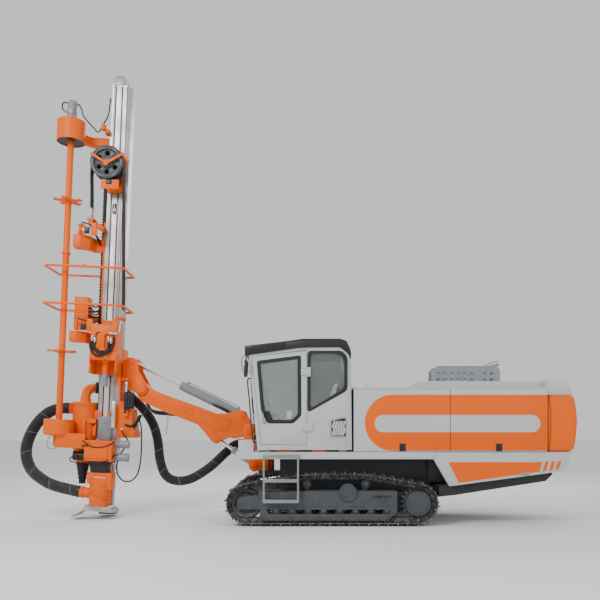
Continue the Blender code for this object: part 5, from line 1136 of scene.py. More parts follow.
def hoodTop():
    # perforated rack, exhaust, seams and lifting eyes on the roof
    outline = [(2.39, 2.30), (3.46, 2.30), (3.46, 2.48), (3.40, 2.546), (2.45, 2.546), (2.39, 2.48)]

    def punched(sheet):
        holes = [box((x - 0.022, x + 0.022), (-0.90, -0.38), (z - 0.020, z + 0.020), 0)
                 for x, z in grid(2.463, 2.325, 0.107, 0.100, 9, 2) if not 3.04 < x < 3.16]
        return cutBy(sheet, joined(holes))

    sheets = [punched(plate(shrunk(outline, -0.002), y, y + 0.020, 0)) for y in (-0.8625, -0.4325)]
    punched(bpy.data.objects["hoodRoofPanel"])
    for x in (2.408, 3.423):
        sheets.append(cube((x, -0.85, 2.30), (x + 0.019, -0.42, 2.492), 0.003))
    for y in (-0.862, -0.42):
        sheets.append(pipe([(2.46, y + 0.004, 2.544), (3.39, y + 0.004, 2.544)], 0.006, 2))
    put("roofRack", "machine", "cylinder", sheets)
    pipePath = smoothPath([(3.36, -0.20, 2.30), (3.36, -0.20, 2.45), (3.37, -0.20, 2.56), (3.42, -0.20, 2.61),
                           (3.52, -0.20, 2.640), (3.62, -0.20, 2.655)], 6)
    stack = [pipe(pipePath, 0.052, 6), lathe([(0.055, 0), (0.075, 0), (0.075, 0.012), (0.055, 0.02), (0.055, 0)],
                                             (3.36, -0.20, 2.30), (0, 0, 1), 32)]
    put("exhaustPipe", "machine", "zinc", stack)
    rims = []
    for x0, x1, y0, y1 in ((2.25, 3.05, 0.05, 0.75), (3.15, 4.0, -0.05, 0.75), (4.18, 4.44, -0.7, 0.7)):
        rims.append(band(roundOff([(x0, y0), (x1, y0), (x1, y1), (x0, y1)], 0.04, 5), 0.03, 2.298, 2.308, axis="Z"))
        for i in range(8):
            x = x0 + 0.08 + (x1 - x0 - 0.16) * i / 7
            rims.append(cube((x, y0 + 0.06, 2.298), (x + 0.018, y1 - 0.06, 2.304), 0.002, 1))
    for x in (1.30, 4.02):
        for y in (-0.97, 0.97):
            rims.append(lathe([(0.018, 0), (0.030, 0.0), (0.034, 0.006), (0.030, 0.012), (0.018, 0.012), (0.014, 0.006),
                               (0.018, 0)], (x, y - 0.006, 2.215), (0, 1, 0), 24))
            rims.append(cube((x - 0.012, y - 0.006, 2.188), (x + 0.012, y + 0.006, 2.20), 0.002))
    put("roofHatches", "machine", "grey", rims)


hoodDoors()
hoodSeal()
rearCap()
skirts()
hoodTop()
print("hood built")


# Boom and its cylinders

boomPlane = 0.27


def hydraulic(title, bodies, ends, width, length, radii, inside, nodes):
    # barrel with ports and its pipe, and the rod; ends in (x, z) on the boom's plane
    reach, thin, baseRadius, eyeRadius = radii
    base, eye = [Vector((x, boomPlane, z)) for x, z in ends]
    along = (eye - base).normalized()
    up = Vector((-along.z, 0, along.x))
    up = up if up.z > 0 else -up
    start = baseRadius * 0.9
    side = Vector((0, width, 0))
    shape = [(0, start), (reach - 0.008, start), (reach, start + 0.008), (reach, length - 0.085),
             (reach - 0.003, length - 0.081), (reach - 0.003, length - 0.064), (reach, length - 0.060),
             (reach - 0.002, length - 0.012), (reach * 0.86, length - 0.006), (reach * 0.84, length),
             (thin + 0.002, length), (thin + 0.002, length - 0.02), (0, length - 0.02)]
    barrel = [lathe(shape, base, along, 48), bar(base - side, base + side, baseRadius, 40, 0.003),
              bar(base + along * baseRadius * 0.5, base + along * (start + 0.02), baseRadius * 0.85, 32)]
    for far in (start + 0.06, length - 0.11):
        spot = base + along * far + up * (reach - 0.006)
        barrel.append(bar(spot, spot + up * 0.024, reach * 0.30, 24, 0.002))
        barrel.append(bolt(spot + up * 0.02, spot + up * 0.034, reach * 0.2))
    high = reach + 0.022
    barrel.append(pipe(smoothPath([base + along * (start + 0.06) + up * high,
                                   base + along * (start + 0.14) + up * (high + 0.004),
                                   base + along * (length * 0.5) + up * (high - 0.006),
                                   base + along * (length - 0.18) + up * (high + 0.004),
                                   base + along * (length - 0.11) + up * high], 6), 0.009, 3))
    put(title + "Barrel", bodies[0], "cylinder", barrel, nodes=[nodes[0]])
    far = (eye - base).length
    rod = [lathe([(0, inside), (thin, inside), (thin, far - eyeRadius * 0.4), (0, far - eyeRadius * 0.4)], base,
                 along, 40),
           bar(eye - side, eye + side, eyeRadius, 40, 0.003)]
    put(title + "Rod", bodies[1], "chrome", rod, nodes=[nodes[1]])


hydraulic("tilt", ("tilt_barrel", "tilt_rod"), ((-0.779, 1.769), (-2.700, 2.712)), 0.088, 1.229,
          (0.0825, 0.032, 0.068, 0.054), 0.70, ("tilt_barrel", "tilt_rod"))
hydraulic("lift", ("lift_barrel", "lift_rod"), ((-0.555, 0.89), (-1.241, 1.362)), 0.045, 0.50,
          (0.062, 0.030, 0.050, 0.050), 0.225, ("lift_barrel", "lift_rod"))


def boomDetails():
    # round pin caps with keeper plates on the near and far side
    caps = {"boom": ((-1.241, 1.362, 0.070, 0.165), (-0.779, 1.769, 0.066, 0.165)),
            "boom_bracket": ((-2.540, 2.238, 0.078, 0.216), (-2.700, 2.712, 0.046, 0.209)),
            "boom_post": ((-0.65, 1.512, 0.062, 0.206),)}
    for body, rows in caps.items():
        pieces = []
        for x, z, radius, out in rows:
            for side in (-1, 1):
                shape = [(0, -0.004), (radius, -0.004), (radius, 0.004), (radius - 0.004, 0.008),
                         (radius * 0.62, 0.009), (radius * 0.58, 0.014), (radius * 0.30, 0.014),
                         (radius * 0.26, 0.011), (0, 0.011)]
                pieces.append(lathe(shape, (x, boomPlane + side * out, z), (0, side, 0), 40))
        put(body.replace("_", "") + "PinCaps", body, "orange", pieces)
    # hoses that leave the boom's belly for the cradle
    runs = []
    for i in range(4):
        y = 0.14 + 0.045 * i
        runs.append(pipe(smoothPath([(-1.62, y, 1.66), (-1.85, y, 1.78 - 0.01 * i), (-2.10, y - 0.01, 1.82 - 0.012 * i),
                                     (-2.35, y - 0.02, 1.86 - 0.014 * i), (-2.46, y - 0.02, 1.98)], 5), 0.016, 3))
    runs.append(cube((-1.66, 0.12, 1.645), (-1.60, 0.30, 1.70), 0.006))
    put("boomHoseRun", "boom", "rubber", runs)
    # raised lines of the side panels
    lines = [roundOff([(-2.10, 2.02), (-2.02, 1.90), (-1.66, 1.765), (-1.62, 1.87)], 0.05, 6),
             roundOff([(-1.56, 1.85), (-1.50, 1.68), (-1.28, 1.50), (-1.02, 1.50), (-0.98, 1.70)], 0.05, 6)]
    rims = [band(outline, 0.014, *sorted((boomPlane + side * 0.164, boomPlane + side * 0.172)))
            for outline in lines for side in (-1, 1)]
    put("boomPanelRims", "boom", "orange", rims)
    # short chain that hangs from the hose run
    ring = lathe([(0.011, -0.004), (0.019, -0.004), (0.019, 0.004), (0.011, 0.004), (0.011, -0.004)], (0, 0, 0),
                 (0, 1, 0), 16)
    chain = [Matrix.Translation((-2.08 - 0.003 * i, 0.16, 1.80 - 0.029 * i))
             @ Matrix.Rotation(math.radians(90 * (i % 2)), 4, "Z")
             @ Matrix.Diagonal((0.8, 1, 1.1, 1)) for i in range(13)]
    put("boomHoseChain", "boom", "steel", again(ring, chain))
    topRun = smoothPath([(-1.30, 0.12, 2.10), (-1.10, 0.13, 2.02), (-0.95, 0.13, 1.93), (-0.82, 0.135, 1.86)], 5)
    put("boomTopHoses", "boom", "rubber", [pipe([p + Vector((0, 0.04 * i, 0.01 * i - 0.145)) for p in topRun], 0.013, 3)
                                           for i in range(2)])


boomDetails()


# Suction hoses

suction = {"front": {"radius": 0.098, "body": "mast", "node": "front_suction_hose", "clamps": (2, -4)},
           "rear": {"radius": 0.085, "body": "boom", "node": "rear_suction_hose", "clamps": (2,)}}
hoseMake = {"step": 0.0125, "sides": 32, "groove": 0.0022, "markEvery": 30}
stubStart, stubEnd = Vector((-0.13, -0.16, 0.425)), Vector((-0.31, -0.16, 0.445))
stubWay = (stubEnd - stubStart).normalized()
stubOut = stubEnd + stubWay * 0.001
suction["front"]["path"] = [onMast(*stubOut)] + smoothPath(
    [onMast(*(stubOut + stubWay * 0.06)), (-3.93, -0.16, 0.55), (-4.14, -0.15, 0.64), (-4.38, -0.10, 0.82),
     (-4.50, -0.04, 1.07), (-4.49, 0.02, 1.33), (-4.37, 0.08, 1.61), (-4.19, 0.14, 1.81),
     (-4.00, 0.18, 1.89), onMast(-0.705, 0.185, 1.87)], 6) + [onMast(-0.656, 0.185, 1.87)]
suction["rear"]["path"] = [onMast(-0.164, 0.50, 2.25)] + smoothPath(
    [onMast(-0.105, 0.50, 2.25), (-3.06, 0.585, 2.24), (-2.86, 0.62, 2.12), (-2.60, 0.64, 1.86), (-2.44, 0.64, 1.60),
     (-2.36, 0.64, 1.30), (-2.32, 0.65, 0.95), (-2.22, 0.67, 0.68), (-2.02, 0.70, 0.58), (-1.76, 0.76, 0.62),
     (-1.44, 0.83, 0.82), (-1.18, 0.89, 1.06), (-1.00, 0.93, 1.22), (-0.88, 0.93, 1.265)], 6) + [
        Vector((-0.802, 0.93, 1.265))]


def even(path, step):
    # the path walked in equal steps, with its direction at each
    made, rest = [], 0.0
    for one, other in zip(path, path[1:]):
        one, other = Vector(one), Vector(other)
        length = (other - one).length
        while rest <= length and length:
            made.append((one.lerp(other, rest / length), (other - one) / length))
            rest += step
        rest -= length
    return made


def offPath(place, along, radius, turn):
    # the point of the hose's skin at this turn about its path
    across = along.cross(Vector((0, 1, 0.01))).normalized()
    return place + (across * math.cos(turn) + along.cross(across) * math.sin(turn)) * radius


def wrapped(title, values):
    # wire-wound hose: the tube swells a little over every turn of its wire
    walked = even(values["path"], hoseMake["step"])
    n = hoseMake["sides"]
    rings = []
    for i, (place, along) in enumerate(walked):
        swell = values["radius"] - (0.0 if i % 4 in (0, 1) else hoseMake["groove"])
        rings.append([offPath(place, along, swell, 2 * math.pi * k / n) for k in range(n)])
    mesh = bpy.data.meshes.new(title)
    points = [p for ring in rings for p in ring]
    faces = [(i * n + k, i * n + (k + 1) % n, (i + 1) * n + (k + 1) % n, (i + 1) * n + k)
             for i in range(len(rings) - 1) for k in range(n)]
    faces += [tuple(range(n - 1, -1, -1)), tuple(range((len(rings) - 1) * n, len(rings) * n))]
    mesh.from_pydata([tuple(p) for p in points], [], faces)
    hose = bpy.data.objects.new(title, mesh)
    bpy.context.scene.collection.objects.link(hose)
    edit(hose)
    bpy.ops.mesh.normals_make_consistent(inside=False)
    close(hose)
    marks = []
    for i in range(9, len(walked) - 14, hoseMake["markEvery"]):
        turn = [offPath(*walked[i + k], values["radius"] - 0.001, math.pi * (0.15 + 1.5 * k / 12)) for k in range(13)]
        marks.append(pipe(turn, 0.0055, 1))
    return hose, marks


for name, values in suction.items():
    hose, marks = wrapped(name + "SuctionHose", values)
    clamps = []
    for index in values["clamps"]:
        place, along = even(values["path"], hoseMake["step"])[index]
        r = values["radius"]
        clamps.append(lathe([(r - 0.006, -0.010), (r + 0.003, -0.010), (r + 0.003, 0.010), (r - 0.006, 0.010)],
                            place, along, 40))
    body = None if name == "rear" else values["body"]
    hose = put(name + "SuctionHose", body, "fabricHose", hose, nodes=[values["node"]])
    marks = put(name + "SuctionMarks", body, "green", marks)
    put(name + "SuctionClamps", values["body"], "black", clamps)
    if name == "rear":
        for piece in (hose, marks):
            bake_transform(piece)
print("boom and suction hoses built")


# Mast: places in its own frame, u across the beam's face, v away from the cab's side, w up along it

mast = {"drill": (0.03, -0.16), "carousel": (-0.72, -0.18), "cyclone": (-0.385, 0.165), "chainLinks": 68,
        "chainPitch": 0.052, "wheel": (-0.10, 6.11), "feedRows": [-0.128 + 0.0305 * i for i in range(5)],
        "feedRadius": 0.0135}


def mastDetails():
    # painted shade: black strips down the bottom of the beam's two grooves and one along its side stand in for the
    # shadow there
    black = [box((side * 0.055 - 0.009, side * 0.055 + 0.009), (0.087, 0.096), (0.93, 7.52), 0.002, 1)
             for side in (-1, 1)]
    black.append(box((0.150, 0.205), (0.104, 0.110), (0.95, 7.30), 0.002, 1))
    put("beamGrooveShade", "mast", "black", black, True)
    slot = arc((0.005, 5.436), 0.050, 0, 180, 13) + arc((0.005, 5.324), 0.050, 180, 360, 13)
    put("beamSlotShade", "mast", "black", plate(slot, 0.0785, 0.084, 0), True)
    rim = [band(slot, 0.007, 0.076, 0.083, 0.001),
           lathe([(0, 0), (0.026, 0), (0.026, 0.004), (0, 0.004)], (0.005, 0.0785, 5.36), (0, -1, 0), 20),
           bar((0.005, 0.078, 5.29), (0.005, 0.074, 5.46), 0.012, 12, 0.001)]
    put("beamSlotRim", "mast", "steel", rim, True)
    # ribs that the extrusion has along its face and its side
    ribs = [box((u - 0.004, u + 0.004), (0.0755, 0.084), (0.95, 7.55), 0.001, 1)
            for u in (-0.128, -0.088, 0.088, 0.128)]
    ribs += [box((0.1325, 0.138), (v - 0.004, v + 0.004), (0.95, 7.55), 0.001, 1) for v in (0.12, 0.20, 0.28)]
    put("beamRibs", "mast", "beam", ribs, True)
    head = []
    for u in (-0.052, 0.0, 0.052):
        head.append(lathe([(0, -0.009), (0.075, -0.009), (0.087, -0.014), (0.089, -0.010), (0.076, 0.0), (0.089, 0.010),
                           (0.087, 0.014), (0.075, 0.009), (0, 0.009)], (u, 0.20, 7.64), (1, 0, 0), 40))
    head.append(bar((-0.10, 0.20, 7.64), (0.10, 0.20, 7.64), 0.020, 24))
    head.append(box((-0.115, 0.115), (0.06, 0.36), (7.555, 7.580), 0.004))
    for u in (-0.09, 0.0, 0.09):
        head.append(bolt((u, 0.084, 7.50), (u, 0.068, 7.50), 0.014))
    put("mastHeadSheaves", "mast", "steel", head, True)
    link = joined([box((-0.036, 0.036), (-0.030, 0.030), (-0.020, 0.020), 0.006, 1),
                   bar((-0.044, 0, 0), (0.044, 0, 0), 0.012, 8, 0),
                   box((-0.018, 0.018), (-0.034, 0.034), (0.014, 0.036), 0.004, 1)])
    places = [Matrix.Translation((-0.178 + 0.003 * (i % 2), 0.135, 2.50 + mast["chainPitch"] * i))
              for i in range(mast["chainLinks"])]
    chain = again(link, places)
    chain.append(box((-0.150, -0.134), (0.10, 0.20), (1.42, 6.04), 0.003))
    put("energyChain", "mast", "rubber", chain, True)
    stop = [box((-0.248, -0.186), (-0.075, 0.02), (6.70, 6.80), 0.005),
            box((-0.20, -0.13), (-0.02, 0.13), (6.66, 6.73), 0.005),
            bar((-0.217, -0.08, 6.75), (-0.217, 0.03, 6.75), 0.02, 20)]
    put("beamStop", "mast", "orange", stop, True)
    # stepped block on the lower beam, with two tabs
    block = [(-0.118, 1.335), (0.116, 1.335), (0.112, 1.66), (0.112, 1.755), (-0.066, 1.755), (-0.066, 1.66),
             (-0.110, 1.66)]
    ring = [(0.010, 0), (0.022, 0), (0.022, 0.010), (0.010, 0.010), (0.010, 0)]
    pieces = [plate(block, 0.030, 0.084, 0.006), lathe(ring, (0.002, 0.030, 1.64), (0, -1, 0), 24)]
    for u, w in ((-0.085, 1.40), (0.085, 1.40), (-0.085, 1.52), (0.085, 1.60), (0.085, 1.70), (-0.04, 1.70)):
        pieces.append(bolt((u, 0.032, w), (u, 0.022, w), 0.009))
    put("lowerGuideBlock", "mast", "cylinder", pieces, True)
    tabs = [box((u - 0.026, u + 0.026), (0.040, 0.084), (1.75, 1.835), 0.006) for u in (-0.080, 0.060)]
    put("lowerGuideTabs", "mast", "orange", tabs, True)


def carouselDetails():
    u, v = mast["carousel"]
    motor = [upright([(0, 6.765), (0.094, 6.765), (0.094, 6.812), (0.086, 6.818), (0.086, 6.905), (0.080, 6.912),
                      (0.080, 7.08), (0.072, 7.105), (0, 7.105)], (u, v), 40)]
    motor += [bar((u + 0.02, v, 7.06), (u + 0.10, v - 0.01, 7.06), 0.020, 20),
              bar((u - 0.07, v, 6.93), (u - 0.125, v, 6.93), 0.022, 20),
              box((u - 0.05, u + 0.05), (v - 0.095, v - 0.07), (6.86, 6.98), 0.008),
              bolt((u, v, 7.10), (u, v, 7.115), 0.03, 0.002)]
    for spot in around(4, 45, 0.115, (u, v)):
        motor.append(bolt((*spot, 6.762), (*spot, 6.776), 0.013))
    put("carouselMotor", "mast", "cylinder", motor, True)
    jumpers = [smoothPath([(u + 0.10, v - 0.01, 7.06), (u + 0.15, v, 7.00), (u + 0.20, v + 0.02, 6.86),
                           (-0.38, -0.10, 6.72), (-0.30, -0.04, 6.66), (-0.23, 0.0, 6.82), (-0.165, 0.04, 7.0),
                           (-0.142, 0.06, 7.3)], 6),
               smoothPath([(u - 0.125, v, 6.93), (u - 0.165, v, 6.97), (u - 0.17, v, 7.06), (u - 0.12, v, 7.085),
                           (u - 0.06, v, 7.05)], 6)]
    put("carouselMotorHoses", "mast", "rubber", [pipe(path, 0.011, 3) for path in jumpers], True)
    drum = [upright([(0.228, 6.405), (0.234, 6.405), (0.2345, 6.75), (0.228, 6.75)], (u, v), 64),
            upright([(0.2, 6.758), (0.232, 6.752), (0.2345, 6.745), (0.228, 6.740)], (u, v), 64)]
    put("carouselDrumSkin", "mast", "orange", drum, True)
    shade = upright([(0.06, 6.417), (0.226, 6.417), (0.226, 6.4195), (0.06, 6.4195)], (u, v), 48)
    put("carouselDrumShade", "mast", "black", shade, True)
    base = [upright([(0, 1.19), (0.055, 1.19), (0.060, 1.20), (0.060, 1.235), (0.045, 1.24), (0, 1.24)], (u, v), 32)]
    put("carouselBaseMotor", "mast", "orange", base, True)
    loop = smoothPath([(u - 0.10, v - 0.10, 1.40), (u - 0.135, v - 0.12, 1.30), (u - 0.14, v - 0.12, 1.21),
                       (u - 0.09, v - 0.10, 1.165), (u - 0.02, v - 0.07, 1.175), (u, v - 0.05, 1.20)], 6)
    put("carouselBasePipe", "mast", "steel", pipe(loop, 0.006, 2), True)


def guardDetails():
    marks = []
    for w in (4.262, 3.632):
        marks.append(plate([(-0.390, w), (-0.335, w + 0.045), (-0.280, w), (-0.335, w - 0.045)], -0.412, -0.394, 0.006))
    put("guardPlates", "mast", "orange", marks, True)
    u0, u1 = -0.585, -0.335
    seams = [box((u0 + 0.006, u1 - 0.01), (-0.064, -0.059), (3.27, 3.50), 0.004),
             box((u0 + 0.006, u1 - 0.01), (-0.064, -0.059), (3.52, 3.785), 0.004)]
    put("valveBoxCovers", "mast", "orange", seams, True)
    jumpers = []
    for i in range(7):
        w = 3.30 + 0.062 * i
        sag = 0.03 + 0.015 * (i % 3)
        jumpers.append(pipe(smoothPath([(-0.345, 0.0, w), (-0.30, -0.02, w + 0.01), (-0.255, -0.015, w - sag),
                                        (-0.21, 0.04, w - sag * 0.6), (-0.16, 0.10, w + 0.04)], 5), 0.013, 3))
        jumpers.append(bolt((-0.345, 0.0, w), (-0.318, -0.008, w + 0.003), 0.018))
    put("valveBoxHoses", "mast", "rubber", jumpers, True)
    grips = []
    for w in (4.80, 3.16):
        for k in range(2):
            grips.append(box((-0.52, -0.40), (-0.232, -0.200), (w + 0.04 + 0.11 * k, w + 0.10 + 0.11 * k), 0.006))
        grips.append(bar((-0.475, -0.25, w + 0.05), (-0.475, -0.25, w + 0.21), 0.022, 20))
        grips.append(box((-0.30, -0.20), (-0.235, -0.20), (w + 0.02, w + 0.24), 0.006))
    put("rodArmJaws", "mast", "orange", grips, True)
    dark = []
    for w in (4.80, 3.16):
        dark.append(box((-0.405, -0.325), (-0.236, -0.205), (w + 0.05, w + 0.16), 0.006))
        dark.append(bar((-0.46, -0.225, w + 0.24), (-0.30, -0.225, w + 0.20), 0.012, 16))
    put("rodArmCylinders", "mast", "black", dark, True)


def clampDetails():
    v = mast["drill"][1]
    sleeves = []
    for w, radius in ((1.285, 0.070), (1.06, 0.074)):
        near, far = 0.262, 0.494
        shape = [(0, near), (radius - 0.006, near), (radius, near + 0.004), (radius, near + 0.03),
                 (radius - 0.006, near + 0.036), (radius - 0.006, far - 0.05), (radius, far - 0.046),
                 (radius, far - 0.006), (radius - 0.006, far), (0, far)]
        sleeves.append(lathe(shape, (0, v, w), (1, 0, 0), 40))
        sleeves.append(bolt((0.31, v - radius * 0.7, w + radius * 0.55), (0.31, v - radius - 0.02, w + radius * 0.9),
                            0.013))
    put("clampCylinders", "mast", "cylinder", sleeves, True)
    left = []
    for w, radius in ((1.285, 0.082), (1.06, 0.086)):
        shape = [(0, 0.232), (radius, 0.232), (radius, 0.27), (radius - 0.012, 0.275), (radius - 0.012, 0.34),
                 (radius, 0.345), (radius, 0.36), (radius - 0.018, 0.365), (radius - 0.018, 0.42),
                 (radius - 0.006, 0.425), (radius - 0.006, 0.45), (0, 0.45)]
        left.append(lathe(shape, (0, v, w), (-1, 0, 0), 36))
        left.append(box((-0.42, -0.36), (v - radius - 0.02, v - 0.03), (w - 0.03, w + 0.03), 0.006))
        left.append(bolt((-0.30, v - 0.05, w + 0.03), (-0.30, v - 0.085, w + 0.055), 0.016))
        left.append(bolt((-0.44, v - 0.03, w - 0.02), (-0.48, v - 0.04, w - 0.03), 0.014))
    put("clampFittings", "mast", "black", left, True)
    thin = [smoothPath([(-0.30, v - 0.085, 1.345), (-0.22, -0.368, 1.31), (-0.10, -0.366, 1.235),
                        (0.05, -0.362, 1.225), (0.18, -0.360, 1.26), (0.25, -0.34, 1.30), (0.30, -0.26, 1.33)], 6),
            smoothPath([(-0.48, v - 0.04, 1.03), (-0.46, -0.30, 0.97), (-0.30, -0.355, 0.955), (-0.05, -0.36, 0.965),
                        (0.12, -0.36, 0.985), (0.22, -0.34, 1.03), (0.31, -0.25, 1.11)], 6),
            smoothPath([(-0.30, v - 0.085, 1.12), (-0.27, -0.30, 1.19), (-0.24, -0.365, 1.24),
                        (-0.15, -0.362, 1.245)], 5)]
    put("clampHoses", "mast", "rubber", [pipe(path, 0.009, 3) for path in thin], True)
    face = [box((-0.195, 0.18), (-0.352, -0.338), (1.03, 1.265), 0.010, 3),
            box((-0.21, 0.235), (-0.346, -0.336), (1.285, 1.33), 0.004),
            box((0.185, 0.24), (-0.352, -0.338), (1.00, 1.27), 0.006)]
    for spot in grid(-0.205, 1.01, 0.44, 0.30, 2, 2):
        face.append(bolt((spot[0], -0.338, spot[1]), (spot[0], -0.354, spot[1]), 0.012))
    put("clampFacePlates", "mast", "orange", face, True)
    boot = [(-0.165, 0.985), (0.195, 0.985), (0.195, 0.955), (0.170, 0.945), (0.178, 0.93), (0.160, 0.915),
            (0.168, 0.90), (0.158, 0.885), (0.158, 0.800), (-0.115, 0.800), (-0.125, 0.885), (-0.138, 0.90),
            (-0.130, 0.915), (-0.148, 0.93), (-0.140, 0.945), (-0.165, 0.955)]
    put("spindleBoot", "mast", "rubber", plate(boot, -0.295, -0.02, 0.004), True)


def dustHood():
    u, v = mast["drill"]
    can = [upright([(0.176, w - 0.012), (0.186, w - 0.012), (0.187, w), (0.186, w + 0.012), (0.176, w + 0.012)],
                   (u, v), 64) for w in (0.60, 0.405)]
    can.append(upright([(0.166, 0.228), (0.1815, 0.228), (0.1815, 0.62), (0.170, 0.635), (0.12, 0.645)], (u, v), 64))
    can.append(pipe(smoothPath([(u - 0.185, v - 0.03, 0.49), (u - 0.13, v - 0.15, 0.47), (u, v - 0.198, 0.42),
                                (u + 0.12, v - 0.16, 0.36), (u + 0.19, v - 0.02, 0.38)], 6), 0.016, 4))
    can.append(plate([(-0.165, 0.60), (-0.12, 0.60), (-0.02, 0.79), (-0.10, 0.79), (-0.13, 0.74)], v - 0.128,
                     v - 0.118, 0.004))
    can.append(box((0.165, 0.245), (v - 0.128, v - 0.116), (0.52, 0.78), 0.008))
    can.append(lathe([(0.085, -0.004), (0.100, -0.004), (0.102, 0.010), (0.085, 0.012)],
                     stubStart.lerp(stubEnd, 0.72), stubEnd - stubStart, 40))
    put("hoodCan", "mast", "orange", can, True)
    rim = [upright([(0.15, 0.198), (0.245, 0.198), (0.250, 0.206), (0.250, 0.222), (0.240, 0.229), (0.182, 0.231),
                    (0.180, 0.24), (0.15, 0.24)], (u, v), 64)]
    for spot in around(8, 22, 0.215, (u, v)):
        rim.append(bolt((*spot, 0.226), (*spot, 0.240), 0.011))
    rim.append(box((-0.06, 0.14), (v - 0.128, v - 0.118), (0.70, 0.715), 0.002))
    put("hoodRim", "mast", "zinc", rim, True)
    put("padRubber", "mast", "rubber", [box((-0.055, 0.225), (0.105, 0.355), (0.043, 0.060), 0.006)], True)


def cycloneDetails():
    ring = [upright([(0.2, 1.925), (0.222, 1.925), (0.224, 1.93), (0.224, 1.955), (0.218, 1.96), (0.09, 1.972),
                     (0.09, 1.96)], mast["cyclone"], 56),
            upright([(0.196, 1.23), (0.2085, 1.225), (0.2085, 1.925), (0.196, 1.925)], mast["cyclone"], 64),
            upright([(0.110, 0.955), (0.145, 0.955), (0.147, 0.975), (0.110, 0.978)], mast["cyclone"], 48)]
    ring += [box((-0.36, -0.30), (-0.075, -0.03), (1.36, 1.67), 0.006),
             box((-0.28, -0.14), (-0.02, 0.10), (1.62, 1.70), 0.008),
             plate([(-0.20, 1.40), (-0.14, 1.40), (-0.14, 1.62), (-0.20, 1.55)], 0.0, 0.08, 0.006)]
    put("cycloneFlanges", "mast", "orange", ring, True)
    cuff = lathe([(0.088, -0.02), (0.104, -0.02), (0.106, 0.10), (0.096, 0.12), (0.088, 0.12)],
                 (-0.285, 0.47, 2.262), (0.92, 0.35, -0.02), 40)
    put("cycloneCuff", "mast", "rubber", cuff, True)
    sleeve = [(0, 0.557), (0.050, 0.557), (0.062, 0.575), (0.060, 0.62), (0.075, 0.66), (0.070, 0.69), (0.088, 0.74),
              (0.083, 0.77), (0.102, 0.82), (0.098, 0.85), (0.116, 0.90), (0.118, 0.928), (0, 0.928)]
    put("dustSleeve", "mast", "rubber", upright(sleeve, mast["cyclone"], 40), True, nodes=["cyclone_sleeve"])


def headDetails():
    # the rotary head's fittings, hoses and swivel
    pipes = [pipe(smoothPath([(0.03, -0.375, 2.88), (0.03, -0.378, 3.00), (0.03, -0.378, 3.08), (0.045, -0.378, 3.13),
                              (0.09, -0.376, 3.15), (0.14, -0.37, 3.15)], 6), 0.030, 5),
             lathe([(0, -0.02), (0.06, -0.02), (0.06, 0.02), (0.045, 0.035), (0, 0.035)], (0.03, -0.375, 2.87),
                   (0, 0, 1), 32),
             box((-0.185, 0.245), (-0.352, -0.338), (2.86, 3.285), 0.008),
             box((-0.06, 0.12), (-0.375, -0.345), (2.72, 2.86), 0.01),
             upright([(0, 2.660), (0.085, 2.660), (0.09, 2.668), (0.09, 2.70), (0, 2.70)], mast["drill"], 40),
             box((0.185, 0.315), (-0.15, 0.01), (3.43, 3.462), 0.006),
             plate([(-0.21, 2.71), (-0.185, 2.71), (-0.150, 2.46), (-0.165, 2.46)], -0.352, -0.20, 0.003),
             plate([(0.245, 2.71), (0.265, 2.71), (0.235, 2.47), (0.225, 2.47)], -0.352, -0.20, 0.003)]
    for i in range(6):
        pipes.append(bolt((-0.17 + 0.08 * i, -0.353, 2.735), (-0.17 + 0.08 * i, -0.364, 2.735), 0.014))
    put("headFace", "rotary_head", "orange", pipes, True)
    fittings = []
    for u, w in ((-0.160, 3.055), (-0.115, 3.03), (0.115, 3.045), (0.160, 3.02)):
        fittings.append(bar((u, -0.36, w - 0.045), (u, -0.36, w + 0.045), 0.020, 24, 0.003))
        fittings.append(bolt((u, -0.36, w - 0.02), (u, -0.36, w + 0.012), 0.026, 0.002))
    fittings += [bolt((0.13, -0.37, 3.15), (0.205, -0.36, 3.15), 0.034, 0.003),
                 pipe(smoothPath([(0.20, -0.36, 3.15), (0.245, -0.35, 3.155), (0.262, -0.32, 3.19),
                                  (0.25, -0.24, 3.30), (0.245, -0.16, 3.40)], 6), 0.028, 4),
                 bolt((0.245, -0.10, 3.36), (0.245, -0.10, 3.43), 0.034, 0.003)]
    put("headFittings", "rotary_head", "zinc", fittings, True)
    hoses = []
    for start, end, low in (((-0.160, 3.01), (0.205, 3.10), 2.79), ((-0.115, 2.985), (0.160, 2.975), 2.82),
                            ((-0.19, 3.0), (0.115, 3.0), 2.76)):
        middle = (start[0] + end[0]) / 2
        knots = [(start[0], -0.36, start[1]), (start[0] + 0.004, -0.362, start[1] - 0.09),
                 (middle - 0.09, -0.392, low + 0.045), (middle + 0.02, -0.396, low),
                 (middle + 0.12, -0.392, low + 0.045), (end[0] + 0.004, -0.364, end[1] - 0.12), (end[0], -0.36, end[1])]
        hoses.append(pipe(smoothPath(knots, 7), 0.019, 4))
    hoses.append(pipe(smoothPath([(-0.03, -0.358, 3.16), (-0.075, -0.362, 3.155), (-0.098, -0.362, 3.11),
                                  (-0.10, -0.362, 3.04), (-0.09, -0.36, 2.97)], 6), 0.008, 3))
    put("headHoses", "rotary_head", "rubber", hoses, True)
    shaft = [(0, 2.478), (0.050, 2.478), (0.056, 2.50), (0.056, 2.692), (0, 2.692)]
    coupling = [(0, 2.262), (0.040, 2.262), (0.047, 2.272), (0.049, 2.30), (0.049, 2.476), (0, 2.476)]
    put("spindleShaft", "spindle", "orange", upright(shaft, mast["drill"], 40), True)
    put("spindleCoupling", "spindle", "cylinder", upright(coupling, mast["drill"], 40), True, nodes=["spindle"])


